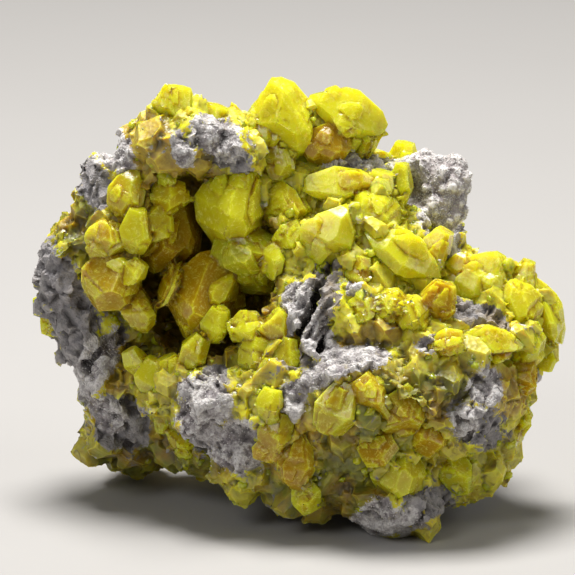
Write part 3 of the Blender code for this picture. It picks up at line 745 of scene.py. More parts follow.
def snapped(points, solids, reach):
    """The points moved onto the faces, edges and corners of the solids that they are that near to."""
    count = len(points)
    poles = np.zeros((count, 3, 3))
    heights = np.zeros((count, 3))
    rank = np.full((count, 3), reach)
    for middle, faces in solids:
        normals, away = planes_of(faces)
        centre = np.array(middle[:])
        near = np.nonzero(np.linalg.norm(points - centre, axis=1) < away.max() * 2)[0]
        above = (points[near] - centre) @ normals.T - away
        touching = np.abs(above.max(axis=1)) < reach
        near, above = near[touching], above[touching]
        for _ in range(3):
            best = np.argmin(np.abs(above), axis=1)
            rows = np.arange(len(near))
            value = above[rows, best]
            slot = np.argmax(rank[near], axis=1)
            better = np.abs(value) < rank[near, slot]
            picked, place = near[better], slot[better]
            rank[picked, place] = np.abs(value[better])
            heights[picked, place] = value[better]
            poles[picked, place] = normals[best[better]]
            above[rows, best] = FAR
    square = poles @ poles.transpose(0, 2, 1) + 0.03 * np.eye(3)
    pull = np.linalg.solve(square, heights[:, :, None])[:, :, 0]
    step = (poles * pull[:, :, None]).sum(axis=1)
    length = np.linalg.norm(step, axis=1)
    step *= np.minimum(1, 1.2 * reach / np.maximum(length, 1e-9))[:, None]
    return points - step


def outside(points, solids):
    """How far each point is outside the nearest of the solids; below 0 within one."""
    nearest = np.full(len(points), FAR)
    for middle, faces in solids:
        poles, away = planes_of(faces)
        near = np.nonzero(np.linalg.norm(points - np.array(middle[:]), axis=1) < away.max() * 2 + 3 * MM)[0]
        heights = (points[near] - np.array(middle[:])) @ poles.T - away
        nearest[near] = np.minimum(nearest[near], heights.max(axis=1))
    return nearest


def grow_group(name, members, grain):
    """One piece of intergrown crystals, with growth steps, rounded edges and its tints painted on."""
    solids, parts, parents = [], [], []
    for k, (crystal, number) in enumerate(members):
        for middle, faces in individuals(crystal, number):
            solids.append((middle, faces))
            parents.append(k)
            parts.append(arrays_of(cut_crystal(middle, faces)))
    obj = remeshed(mesh_object(name, *joined(parts)), grain)
    mesh = obj.data
    points = snapped(points_of(mesh), solids, 0.7 * grain)
    owner, edge, normal = owners(points, solids)
    place = points + normal * (owner * 0.037)[:, None]
    steps = np.floor(2.5 * waves(place, 2.4 * MM, 3)) / 2.5
    inland = ramp(edge, 0.1 * MM, 0.6 * MM)
    wear = 1.0 if name == LEDGE else 0.0
    broken = ramp(waves(points, 4.0 * MM, 33), 0.30 - 0.5 * wear, 0.6 - 0.4 * wear)
    lift = 0.03 * waves(points, 3.0 * MM, 5) + 0.06 * steps * inland + 0.008 * waves(points, 0.9 * MM, 9)
    lift += broken * ((0.10 + 0.14 * wear) * facets(points, (1.7 + wear) * MM, 21) - 0.06 - 0.12 * wear)
    set_points(mesh, points + normal * (lift * MM)[:, None])
    mesh.set_sharp_from_angle(angle=math.radians(24))
    height = relief(mesh, 14)
    # Painted shade for the pits and painted highlight for the crests, from how far each vertex sinks or
    # stands out
    paint(mesh, "pit_shade", ramp(-height, 0.01, 0.20))
    paint(mesh, "crest", ramp(height, 0.01, 0.20))
    general, single = TINTS[name]
    chance = random.Random(len(name))
    table = []
    for k in parents:
        amber, green = single.get(k, general)
        table.append((amber + chance.uniform(-0.12, 0.12), green + chance.uniform(-0.08, 0.08)))
    table = np.array(table)
    # Painted shade: the vug's crystals turn deeper amber the farther back they sit in the hollow
    depth = ramp(points[:, 1], -6 * MM, 8 * MM) if name == "vug_crystals" else 0.0
    paint(mesh, "amber", np.clip(table[owner, 0] + 0.35 * depth, 0, 1))
    paint(mesh, "green", np.clip(table[owner, 1], 0, 1))
    paint(mesh, "edge", 1 - ramp(edge, 0.05 * MM, 0.5 * MM))
    # Painted shade: more amber towards the middle of each face and paler lemon at the thin rims, standing in
    # for the crystal's thickness
    paint(mesh, "core", ramp(edge, 0.2 * MM, 3.0 * MM))
    paint(mesh, "crystal", (owner * 0.377) % 1)
    paint(mesh, "dust", np.zeros(len(points)))
    return obj


# ---- shaders -------------------------------------------------------------------------------------


class Wire:
    """An output socket that takes part in Python arithmetic."""

    def __init__(self, shop, socket):
        self.shop = shop
        self.socket = socket

    def _sum(self, operation, *values):
        return self.shop.node("ShaderNodeMath", {"operation": operation}, dict(enumerate(values)))

    def __add__(self, other):
        return self._sum("ADD", self, other)

    __radd__ = __add__

    def __sub__(self, other):
        return self._sum("SUBTRACT", self, other)

    def __rsub__(self, other):
        return self._sum("SUBTRACT", other, self)

    def __mul__(self, other):
        return self._sum("MULTIPLY", self, other)

    __rmul__ = __mul__

    def most(self, other):
        return self._sum("MAXIMUM", self, other)

    def between(self, low, high):
        """0 below low, 1 above high, smooth between."""
        settings = {"interpolation_type": "SMOOTHSTEP"}
        return self.shop.node("ShaderNodeMapRange", settings, {0: self, 1: low, 2: high, 3: 0.0, 4: 1.0})


class Shop:
    """Makes the nodes of one material."""

    def __init__(self, name):
        self.material = bpy.data.materials.new(name)
        self.material.use_nodes = True
        self.tree = self.material.node_tree
        self.tree.nodes.clear()

    def node(self, kind, settings=None, values=None, out=0):
        """A node of that type, with its settings, then its sockets; gives the wanted output."""
        made = self.tree.nodes.new(kind)
        for key, value in (settings or {}).items():
            setattr(made, key, value)
        for key, value in (values or {}).items():
            socket = made.inputs[key]
            if isinstance(value, Wire):
                self.tree.links.new(value.socket, socket)
            elif socket.type == "RGBA":
                socket.default_value = (*value, 1)
            else:
                socket.default_value = value
        return Wire(self, made.outputs[out]) if made.outputs else made

    def place(self):
        return self.node("ShaderNodeTexCoord", out="Object")

    def kept(self, name):
        """A number painted on the mesh."""
        return self.node("ShaderNodeAttribute", {"attribute_name": name}, out="Fac")

    def noise(self, size, detail, roughness, twist=0.0):
        values = {
            "Vector": self.place(),
            "Scale": 1 / size,
            "Detail": detail,
            "Roughness": roughness,
            "Distortion": twist,
        }
        return self.node("ShaderNodeTexNoise", None, values)

    def warped(self, size, reach):
        """The place, pushed about by noise of that size."""
        push = self.node("ShaderNodeTexNoise", None, {"Vector": self.place(), "Scale": 1 / size}, out="Color")
        centred = self.node("ShaderNodeVectorMath", {"operation": "SUBTRACT"}, {0: push, 1: (0.5, 0.5, 0.5)})
        pushed = self.node("ShaderNodeVectorMath", {"operation": "SCALE"}, {0: centred, "Scale": reach})
        return self.node("ShaderNodeVectorMath", {"operation": "ADD"}, {0: pushed, 1: self.place()})

    def cells(self, size, feature="F1", place=None):
        values = {"Vector": place or self.place(), "Scale": 1 / size}
        return self.node("ShaderNodeTexVoronoi", {"feature": feature}, values, "Distance")

    def mix(self, one, other, share):
        """A colour between two colours."""
        return self.node("ShaderNodeMix", {"data_type": "RGBA"}, {0: share, 6: one, 7: other}, out=2)

    def bump(self, height, distance, strength, under=None):
        values = {"Height": height, "Distance": distance, "Strength": strength}
        if under:
            values["Normal"] = under
        return self.node("ShaderNodeBump", None, values)

    def shader(self, **values):
        named = {key.replace("_", " "): value for key, value in values.items()}
        return self.node("ShaderNodeBsdfPrincipled", None, named)

    def finish(self, surface):
        self.node("ShaderNodeOutputMaterial", None, {"Surface": surface})
        return self.material


def sulfur_material():
    """Resinous, translucent crystal: light soaks into it and comes out lemon, or amber where it is deep."""
    shop = Shop("sulfur crystal")
    tone = colours()
    amber, green, edge = shop.kept("amber"), shop.kept("green"), shop.kept("edge")
    own, dusty = shop.kept("crystal"), shop.kept("dust")
    clouds = shop.noise(5.0 * MM, 5, 0.6, twist=0.8)
    veils = shop.noise(1.6 * MM, 5, 0.65, twist=2.0)
    flaws = shop.cells(2.4 * MM, "DISTANCE_TO_EDGE", place=shop.warped(1.5 * MM, 1.2 * MM))
    core = shop.kept("core")
    pit_shade, crest = shop.kept("pit_shade"), shop.kept("crest")
    # Deeper amber in the pits and towards the face middles is painted shade, paler on the crests is painted
    # highlight; the rest is the crystals' own tint and clouds
    deep = amber + (clouds - 0.5) * 1.2 + (own - 0.5) * 0.25 + core * 0.3 + pit_shade * 0.4 - crest * 0.35
    deep = deep.between(0.05, 0.95)
    base = shop.mix(tuple(tone.lemon), tuple(tone.green), green.between(0.0, 1.0))
    base = shop.mix(base, tuple(tone.amber), deep)
    base = shop.mix(base, (0.84, 0.82, 0.16), (veils.between(0.52, 0.70) * (0.6 - deep * 0.4)))
    base = shop.mix(base, (0.78, 0.72, 0.12), (1 - flaws.between(0.0, 0.05)) * 0.10)
    base = shop.mix(base, (0.30, 0.20, 0.004), (1 - veils.between(0.24, 0.42)) * 0.35)
    feather = shop.noise(2.6 * MM, 3, 0.55, twist=2.6) - 0.5
    streaks = (1 - (feather * feather).between(0.0, 0.0016)) * veils.between(0.4, 0.6)
    gloom = shop.noise(3.4 * MM, 4, 0.6, twist=1.4)
    base = shop.mix(base, (0.40, 0.25, 0.004), gloom.between(0.54, 0.70) * 0.45)
    base = shop.mix(base, (0.90, 0.88, 0.16), streaks * 0.45)
    # Painted highlight: pale lemon on the crests. Painted shade: dark brown in the pits
    base = shop.mix(base, (0.86, 0.85, 0.05), crest * (0.45 - amber * 0.25))
    base = shop.mix(base, (0.26, 0.16, 0.004), pit_shade * 0.4)
    fine = shop.noise(0.35 * MM, 3, 0.6)
    mid = shop.noise(1.2 * MM, 4, 0.55)
    normal = shop.bump(fine, 0.06 * MM, 0.35)
    normal = shop.bump(mid, 0.22 * MM, 0.45, normal)
    roughness = 0.13 + veils.between(0.4, 0.8) * 0.22 + edge * 0.08
    crystal = shop.shader(
        Base_Color=base,
        Roughness=roughness,
        IOR=1.75,
        Specular_IOR_Level=0.22,
        Normal=normal,
        Subsurface_Weight=1.0,
        Subsurface_Radius=(1.0, 0.76, 0.05),
        Subsurface_Scale=5.0 * MM,
        Transmission_Weight=0.12,
    )
    # A dusting of druse lies over some of the crystals.
    drift = shop.noise(3.2 * MM, 6, 0.72, twist=0.6)
    powder = shop.mix((0.50, 0.46, 0.42), (0.70, 0.67, 0.60), fine.between(0.35, 0.7))
    coat = shop.shader(Base_Color=powder, Roughness=0.85, Normal=shop.bump(fine, 0.25 * MM, 0.8))
    share = (drift.between(0.56, 0.66) * dusty).most(drift.between(0.68, 0.76) * 0.6)
    return shop.finish(shop.node("ShaderNodeMixShader", None, {0: share, 1: crystal, 2: coat}))


def rock_material():
    """Grey limestone, sugary druse and grainy sulfur, as painted on the mesh."""
    shop = Shop("sulfur bearing limestone")
    tone = colours()
    druse, grey, stain, olive, slate = [shop.kept(kind) for kind in KINDS]
    hollow, crack, block, own = (shop.kept(name) for name in ("hollow", "crack", "block", "own"))
    pit_shade, crest = shop.kept("pit_shade"), shop.kept("crest")
    big = shop.noise(5 * MM, 5, 0.6)
    mid = shop.noise(1.5 * MM, 5, 0.65)
    fine = shop.noise(0.4 * MM, 4, 0.6)
    patches = shop.noise(2.2 * MM, 6, 0.7, twist=1.2)

    # Painted light: high on the show side the massive sulfur turns paler lemon, with fewer dark patches,
    # where the top is lit
    painted_top_light = shop.kept("painted_top_light")
    dull = shop.mix(tuple(tone.massive), tuple(tone.lemon), painted_top_light * big.between(0.35, 0.6) * 0.9)
    dull = shop.mix(dull, (0.58, 0.55, 0.09), mid.between(0.42, 0.72) * (0.9 - painted_top_light * 0.4))
    dull = shop.mix(dull, (0.24, 0.17, 0.02), patches.between(0.46, 0.66) * (0.85 - painted_top_light * 0.45))
    clean = shop.mix(tuple(tone.lemon), (0.52, 0.40, 0.015), (big + (own - 0.5) * 0.5).between(0.36, 0.66))
    clean = shop.mix(clean, (0.68, 0.65, 0.07), mid.between(0.52, 0.72) * 0.5)
    sulfur = shop.mix(dull, clean, block * 0.85)
    # Painted shade: the olive patches, mostly on the lower front under its brow, are darkened to deep olive,
    # which is partly the dull sulfur's own colour
    shade = shop.mix((0.15, 0.155, 0.008), (0.27, 0.16, 0.008), big.between(0.42, 0.62))
    sulfur = shop.mix(sulfur, shade, olive * (0.62 + mid * 0.6))
    # Painted shade: the rock inside the hollow is darkened to dark brown
    sulfur = shop.mix(sulfur, (0.22, 0.12, 0.005), hollow * 0.85)
    brown = shop.mix(tuple(tone.stain), (0.55, 0.42, 0.05), mid.between(0.35, 0.7))
    brown = shop.mix(brown, (0.13, 0.09, 0.03), patches.between(0.6, 0.8) * 0.6)
    stained = (stain * 1.3 - 0.3 + (patches - 0.5) * 1.6).between(0.15, 0.55)
    sulfur = shop.mix(sulfur, brown, stained)
    # Painted shade: near black in the pits. Painted highlight: pale lemon on the crests, less on the olive
    # and in the hollow
    sulfur = shop.mix(sulfur, (0.07, 0.05, 0.008), pit_shade * 0.85)
    sulfur = shop.mix(sulfur, (0.70, 0.67, 0.03), crest * (0.5 - olive * 0.3 - hollow * 0.4))

    stone = shop.mix(tuple(tone.stone), (0.36, 0.34, 0.33), mid.between(0.35, 0.68))
    stone = shop.mix(stone, (0.08, 0.07, 0.07), patches.between(0.52, 0.72) * 0.8)
    stone = shop.mix(stone, (0.24, 0.19, 0.12), slate * big.between(0.4, 0.6))
    sugar = shop.cells(0.42 * MM, "F1", place=shop.warped(0.6 * MM, 0.3 * MM))
    frost = shop.mix((0.52, 0.49, 0.48), (0.25, 0.22, 0.23), big.between(0.42, 0.60))
    frost = shop.mix(frost, (0.44, 0.38, 0.12), patches.between(0.54, 0.68) * 0.45)
    # White tips on the crests: partly the druse's own white points, partly painted highlight
    tips = (crest * 0.7 + (fine - 0.5) * 0.8 + 0.1).between(0.05, 0.6)
    frost = shop.mix(frost, (0.86, 0.84, 0.82), tips * 0.85)
    # Painted shade: dark grey in the creases between the sugary grains
    frost = shop.mix(frost, (0.20, 0.18, 0.18), sugar.between(0.45, 0.85) * 0.55)
    frosted = (druse * 1.5 - 0.15 + (patches - 0.5) * 1.4 + (fine - 0.5)).between(0.2, 0.6)
    stone = shop.mix(stone, frost, frosted)
    # Painted highlight on the crests and painted shade, near black, in the pits
    stone = shop.mix(stone, (0.50, 0.47, 0.46), crest * 0.45)
    stone = shop.mix(stone, (0.045, 0.038, 0.036), pit_shade * 0.85)
    # Painted shade: the crack is painted almost black
    stone = shop.mix(stone, (0.02, 0.018, 0.015), crack)

    bare = grey.most(druse).most(slate)
    fray = (patches - 0.5) * 2.6 + (mid - 0.5) * 1.6 + (fine - 0.5) * 0.8
    stony = (bare * 1.4 - 0.2 + fray - block * 0.35).between(0.25, 0.55)
    stony = stony.most(crack)
    grit = shop.bump(fine, 0.22 * MM, 0.8)
    grit = shop.bump(1 - sugar, 0.22 * MM, 0.7, grit)
    grit = shop.bump(mid, 0.5 * MM, 0.5, grit)
    chips = shop.cells(0.9 * MM)
    glassy = shop.bump(chips, 0.35 * MM, 0.5, shop.bump(fine, 0.08 * MM, 0.4))
    soft = shop.shader(
        Base_Color=sulfur,
        Roughness=0.52 - block * 0.25 + mid * 0.1,
        IOR=1.8,
        Specular_IOR_Level=0.35,
        Normal=glassy,
        Subsurface_Weight=1.0,
        Subsurface_Radius=(1.0, 0.72, 0.06),
        Subsurface_Scale=2.2 * MM,
    )
    hard = shop.shader(
        Base_Color=stone,
        Roughness=0.75 + fine * 0.2,
        Normal=grit,
        Subsurface_Weight=0.4,
        Subsurface_Radius=(1.0, 0.9, 0.85),
        Subsurface_Scale=0.6 * MM,
    )
    surface = shop.node("ShaderNodeMixShader", None, {0: stony, 1: soft, 2: hard})
    return shop.finish(surface)


def druse_material():
    """Sugary aragonite, white with lilac-grey shadows and a breath of yellow at its foot."""
    shop = Shop("aragonite druse")
    tone = colours()
    big = shop.noise(4 * MM, 4, 0.6)
    mid = shop.noise(1.2 * MM, 4, 0.6)
    fine = shop.noise(0.4 * MM, 3, 0.6)
    yellow = shop.kept("amber")
    pit_shade, crest = shop.kept("pit_shade"), shop.kept("crest")
    frost = shop.mix((0.48, 0.44, 0.42), (0.33, 0.29, 0.29), big.between(0.36, 0.64))
    # Pale crests: partly the aragonite's own white tips, partly painted highlight. Painted shade: dark
    # grey-brown in the pits
    frost = shop.mix(frost, tuple(tone.druse), (crest + (mid - 0.5) + (fine - 0.5) * 0.6).between(0.1, 0.9))
    frost = shop.mix(frost, (0.20, 0.165, 0.15), (pit_shade + (mid - 0.5) * 0.5).between(0.1, 0.9) * 0.8)
    frost = shop.mix(frost, (0.62, 0.60, 0.08), (yellow + (big - 0.5)).between(0.3, 0.8))
    normal = shop.bump(mid, 0.20 * MM, 0.4, shop.bump(fine, 0.15 * MM, 0.6))
    surface = shop.shader(
        Base_Color=frost,
        Roughness=0.62 + fine * 0.25,
        Normal=normal,
        Subsurface_Weight=0.5,
        Subsurface_Radius=(1.0, 0.9, 0.85),
        Subsurface_Scale=0.8 * MM,
    )
    return shop.finish(surface)


def floor_material():
    shop = Shop("pale floor")
    grain = shop.noise(60 * MM, 3, 0.5)
    colour = shop.mix(tuple(colours().floor), tuple(c * 0.97 for c in colours().floor), grain)
    return shop.finish(shop.shader(Base_Color=colour, Roughness=0.6))


def material(maker):
    """The material that the maker makes, once."""
    if maker.__name__ not in made_materials:
        made_materials[maker.__name__] = maker()
    return made_materials[maker.__name__]


made_materials = {}


# ---- pieces --------------------------------------------------------------------------------------


def inside(patch, across, up, fray):
    """How far each place is inside the patch: 1 at its heart, 0 outside, with a frayed rim."""
    turn = math.radians(patch.turn)
    dx, dy = across - patch.across, up - patch.up
    along = (dx * math.cos(turn) + dy * math.sin(turn)) / patch.wide
    over = (dy * math.cos(turn) - dx * math.sin(turn)) / patch.high
    return ramp(1.55 - np.sqrt(along**2 + over**2) + fray, 0.0, 0.9)


def along_line(course, across, up):
    """The distance in mm of each place from a line through the points."""
    best = np.full(len(across), FAR / MM)
    for (ax, ay), (bx, by) in zip(course, course[1:]):
        dx, dy = bx - ax, by - ay
        share = np.clip(((across - ax) * dx + (up - ay) * dy) / (dx * dx + dy * dy), 0, 1)
        best = np.minimum(best, np.hypot(across - ax - share * dx, up - ay - share * dy))
    return best


def rock_masks(points, normals, solids):
    """What each place of the rock is made of and how it lies, as a number from 0 to 1 under each name."""
    across, up = show_place(points)
    facing = ramp(-normals[:, 1] * math.cos(SHOW_PITCH) + normals[:, 2] * math.sin(SHOW_PITCH), -0.35, 0.0)
    fray = 0.35 * rough(points, 4 * MM, 2)
    masks = {}
    for kind in KINDS:
        mask = np.zeros(len(points))
        for patch in PATCHES:
            if patch.kind == kind:
                mask = np.maximum(mask, inside(patch, across, up, fray))
        masks[kind] = mask * facing
    # The sides that the patches leave: broken limestone with sulfur and druse over parts of it.
    behind = 1 - facing
    for kind, size, seed, frayed, low, high in BEHIND:
        swells = waves(points, size * MM, seed) + frayed * fray
        masks[kind] = np.maximum(masks[kind], behind * ramp(swells, low, high))

    heart = np.array(seen(*HOLLOW[:3])[:])
    reach = np.linalg.norm((points - heart) / (np.array(HOLLOW[3:]) * MM), axis=1)
    masks["hollow"] = 1 - ramp(reach, 1.0, 1.08)
    for kind in ("druse", "grey"):
        masks[kind] *= 1 - masks["hollow"]
    crack = np.minimum(along_line(CRACK, across, up), along_line(SIDE_CRACK, across, up) + 0.3)
    crack = crack + 0.45 * waves(points, 2 * MM, 6)
    masks["crack"] = (1 - ramp(crack, 0.15, 0.8)) * ramp(facing, 0.5, 1)
    clear = outside(points, solids["loose"]) - GAP
    clear = np.minimum(clear, outside(points, solids["fused"]))
    masks["under"] = 1 - ramp(clear, 0.08 * MM, 0.30 * MM)
    masks["collar"] = (1 - ramp(clear, 0.5 * MM, 2.4 * MM)) * (1 - masks["under"])
    masks["stony"] = np.maximum.reduce([masks["grey"], masks["druse"], masks["slate"]])
    # Painted light: 1 high on the show side, where the top is lit, 0 lower down and on the other sides
    masks["painted_top_light"] = ramp(up + 3 * waves(points, 6 * MM, 51), 22, 31) * ramp(facing, 0.3, 1)
    return masks


def block_solids(base, solids):
    """Blocky crystals half sunk in the rock wherever it is neither bare stone nor druse."""
    surface = Surface(base.data)
    masks = rock_masks(surface.points, surface.normals, solids)
    weights = np.clip(1.0 - masks["stony"], 0.004, 1) * (1 - masks["under"]) * (1 - masks["crack"])
    weights *= 1 - masks["hollow"]
    weights = weights * ramp(surface.points[:, 2], 1.5 * MM, 5.0 * MM) + SLIGHT
    chance = np.random.default_rng(11)
    count = sizes().blocks
    places, normals, _ = surface.spots(weights, count, chance)
    swell = 1 + 0.5 * waves(places, 9 * MM, 61)
    size = np.clip(chance.lognormal(mean=1.15, sigma=0.40, size=count) * swell, 1.6, 6.5) * MM
    order = np.argsort(-size)
    places, normals, size = places[order], normals[order], size[order]
    kept = thinned(places, size, 0.78)
    places, normals, size = places[kept], normals[kept], size[kept]
    spans = size[:, None] * chance.uniform(0.70, 1.35, size=(len(size), 3)) / MM
    places = places - normals * (size * 0.24)[:, None]
    solids = []
    for k, (place, span) in enumerate(zip(places, spans)):
        tilt = [chance.uniform(-70, 70), chance.uniform(-70, 70), chance.uniform(0, 180)]
        crystal = Crystal(0, 0, 0, *span, *tilt, ("full", "plain", "block")[k % 3])
        solids.append((Vector(place), chipped(faces_of(crystal, 2000 + k), k, 3, 0.2)))
    return solids


def on_blocks(points, blocks):
    """1 where a point lies on the face of a block, 0 away from them."""
    return 1 - ramp(np.abs(outside(points, blocks)), 0.15 * MM, 0.45 * MM)


def build_rock():
    parts = [solid_arrays("matrix")]
    solids = {"loose": [], "fused": []}
    for name, members in numbered_crystals().items():
        kind = "fused" if name == LEDGE else "loose"
        for crystal, number in members:
            middle, faces = seen(crystal.across, crystal.up, crystal.back), faces_of(crystal, number)
            solids[kind].append((middle, faces))
            if kind == "loose":
                parts.append(arrays_of(cut_crystal(middle, faces, GAP + 0.02 * MM)))
    base = remeshed(mesh_object("rock_base", *joined(parts)), 2 * sizes().rock_grain)
    blocks = block_solids(base, solids)
    bpy.data.objects.remove(base)
    for middle, faces in blocks:
        parts.append(arrays_of(cut_crystal(middle, faces)))
    obj = remeshed(mesh_object("rock", *joined(parts)), sizes().rock_grain)
    mesh = obj.data
    points, normals = snapped(points_of(mesh), blocks, 0.6 * sizes().rock_grain), normals_of(mesh)
    across, up = show_place(points)
    masks = rock_masks(points, normals, solids)
    block = on_blocks(points, blocks)

    # The rock sinks back under each large crystal, and swells against its foot.
    massive = 1 - masks["stony"]
    lift = (0.45 - 0.4 * block) * rough(points, 3.5 * MM, 1)
    facet = sizes().facet
    lift += massive * (1 - block) * (0.32 * facets(points, facet, 3) + 0.15 * facets(points, facet * 0.45, 5))
    lift += block * 0.04 * waves(points, 1.2 * MM, 2)
    bead = sizes().bead
    lumps = 1.1 * beads(points, 2.2 * bead, 6) + 0.55 * beads(points, bead, 7)
    lumps += 0.25 * beads(points, bead * 0.5, 9)
    lumps -= 0.8 * ramp(waves(points, 3.3 * MM, 77), 0.2, 0.7)
    lift += masks["druse"] * (lumps - 0.7)
    lift += masks["grey"] * (0.9 * rough(points, 4.5 * MM, 12, 5) + 0.45 * facets(points, 2.6 * MM, 14))
    along = (across * 0.5 + up * 0.87) * 0.22
    grain = np.stack([across * 0.87 - up * 0.5, along, points[:, 1] / MM * 0.5], axis=1)
    ribs = 0.9 * ridged(grain * MM, 1.1 * MM, 17) + 0.4 * ridged(grain * MM, 0.5 * MM, 18)
    lift += masks["slate"] * (ribs - 0.3)
    lift += 0.45 * masks["collar"] * (1 - block) - 2.6 * masks["crack"] - 0.4
    lift *= 1 - 0.8 * masks["under"]
    lift -= 1.1 * masks["under"]
    lift *= ramp(points[:, 2], 0.0, 1.5 * MM)
    points = points + normals * (lift * MM)[:, None]
    # What stands out of the solids' box is pressed back towards it.
    low, high = (np.array(corner) for corner in CAD_BOX)
    points = np.where(points > high, high + (points - high) * 0.3, points)
    points = np.where(points < low, low + (points - low) * 0.3, points)
    points[:, 2] = np.maximum(points[:, 2], 0.0)
    set_points(mesh, points)

    thin = obj.modifiers.new("Thin", "DECIMATE")
    thin.ratio = min(1.0, sizes().rock_triangles / (2 * len(mesh.polygons)))
    apply_modifiers(obj)
    mesh = obj.data
    mesh.set_sharp_from_angle(angle=math.radians(35))
    points = points_of(mesh)
    masks = rock_masks(points, normals_of(mesh), solids)
    owner, _, _ = owners(points, blocks)
    masks["block"] = on_blocks(points, blocks)
    masks["own"] = (owner * 0.377) % 1
    # Painted shade for the pits, less at the crystals' feet, and painted highlight for the crests
    height = relief(mesh, 7)
    masks["pit_shade"] = ramp(-height, 0.02, 0.40) * (1 - 0.8 * masks["collar"] - 0.8 * masks["under"])
    masks["crest"] = ramp(height, 0.02, 0.45)
    for kind, mask in masks.items():
        paint(mesh, kind, mask)
    finish_piece(obj, material(rock_material), "limestone", "matrix")


def build_knob():
    obj = remeshed(mesh_object("aragonite_knob", *solid_arrays("druse_knob")), sizes().knob_grain)
    mesh = obj.data
    points, normals = points_of(mesh), normals_of(mesh)
    lift = 1.5 * (beads(points, 3.4 * MM, 3) - 1)
    lift += 0.6 * beads(points, 1.5 * MM, 4) + 0.22 * beads(points, 0.7 * MM, 5)
    set_points(mesh, points + normals * (lift * MM)[:, None])
    across, _ = show_place(points)
    height = relief(mesh, 16)
    paint(mesh, "amber", ramp(17.5 - across + 1.5 * waves(points, 3 * MM, 5), -1.5, 2.0) * 0.9)
    # Painted shade for the knob's pits and painted highlight for its crests
    paint(mesh, "pit_shade", ramp(-height, 0.0, 0.30))
    paint(mesh, "crest", ramp(height, 0.0, 0.25))
    finish_piece(obj, material(druse_material), "aragonite", "druse_knob")


def toward(normals, chance, wander):
    """Rotations that point each piece's length along its normal, give or take."""
    aim = normals + chance.normal(scale=wander, size=normals.shape)
    aim /= np.linalg.norm(aim, axis=1)[:, None]
    side = np.cross(aim, chance.normal(size=aim.shape))
    side /= np.linalg.norm(side, axis=1)[:, None]
    other = np.cross(aim, side)
    return np.stack([side, other, aim], axis=2)


def sprinkle(name, kinds, places, rotations, spans, tint):
    """One mesh of many small solids; each takes one of the kinds, a place, a turn and three sizes."""
    all_points, all_faces, all_tints = [], [], []
    shift = 0
    for k, place in enumerate(places):
        shape, faces = kinds[k % len(kinds)]
        points = (shape * spans[k]) @ rotations[k].T + place
        all_points.append(points)
        all_faces.append(faces + shift)
        all_tints.append(np.tile(tint[k], (len(points), 1)))
        shift += len(points)
    obj = mesh_object(name, np.concatenate(all_points), np.concatenate(all_faces))
    tints = np.concatenate(all_tints)
    for column, kind in enumerate(("amber", "green", "crystal")):
        paint(obj.data, kind, tints[:, column])
    for kind in ("edge", "core", "pit_shade"):
        paint(obj.data, kind, np.zeros(len(tints)))
    # Every small piece gets a middling painted highlight and no painted shade
    paint(obj.data, "crest", np.full(len(tints), 0.5))
    return obj


def small_kinds(count, uneven):
    """Some unlike crystals of unit size to sprinkle."""
    kinds = []
    for k in range(count):
        chance = random.Random(900 + k)
        crystal = Crystal(0, 0, 0, 1, 1, 1, 0, 0, 0, "plain")
        faces = [(normal, away / MM * chance.uniform(1 - uneven, 1)) for normal, away in faces_of(crystal, k)]
        kinds.append(arrays_of(cut_crystal(Vector((0, 0, 0)), faces)))
    return kinds


def spike(chance):
    """A small double-ended point, as arrays: six corners, a little out of true, and eight triangles."""
    corners = np.array([[1, 0, 0], [0, 1, 0], [-1, 0, 0], [0, -1, 0], [0, 0, 1.3], [0, 0, -1]])
    corners = corners * 0.5 + chance.uniform(-0.08, 0.08, size=(6, 3))
    faces = [[k, (k + 1) % 4, 4] for k in range(4)] + [[(k + 1) % 4, k, 5] for k in range(4)]
    return corners, np.array(faces)


class Surface:
    """A mesh's triangles, to scatter things over."""

    def __init__(self, mesh):
        mesh.calc_loop_triangles()
        flat = np.empty(len(mesh.loop_triangles) * 3, dtype=np.int32)
        mesh.loop_triangles.foreach_get("vertices", flat)
        self.mesh = mesh
        self.triangles = flat.reshape(-1, 3)
        self.points, self.normals = points_of(mesh), normals_of(mesh)
        a, b, c = (self.points[self.triangles[:, k]] for k in range(3))
        self.area = np.linalg.norm(np.cross(b - a, c - a), axis=1)

    def spots(self, weights, count, chance):
        """Random places, more of them where the weights are high, with their normals and triangles."""
        share = self.area * weights[self.triangles].mean(axis=1)
        picked = chance.choice(len(self.triangles), size=count, p=share / share.sum())
        u, v = chance.random(count), chance.random(count)
        flip = u + v > 1
        u[flip], v[flip] = 1 - u[flip], 1 - v[flip]
        a, b, c = (self.points[self.triangles[picked, k]] for k in range(3))
        places = a + (b - a) * u[:, None] + (c - a) * v[:, None]
        normals = self.normals[self.triangles[picked]].mean(axis=1)
        return places, normals / np.linalg.norm(normals, axis=1)[:, None], picked

    def at(self, name, picked):
        """What is painted under that name in the picked triangles."""
        return painted(self.mesh, name)[self.triangles[picked]].mean(axis=1)


def thinned(places, size, crowding):
    """Which of the places to keep so that none is nearer to another than their sizes allow."""
    kept, shelf = [], {}
    pitch = size.max()
    for k, place in enumerate(places):
        cell = tuple(int(math.floor(value / pitch)) for value in place)
        near = []
        for step in np.ndindex(3, 3, 3):
            near += shelf.get((cell[0] + step[0] - 1, cell[1] + step[1] - 1, cell[2] + step[2] - 1), [])
        if all(math.dist(places[other], place) > crowding * (size[other] + size[k]) / 2 for other in near):
            shelf.setdefault(cell, []).append(k)
            kept.append(k)
    return np.array(kept)


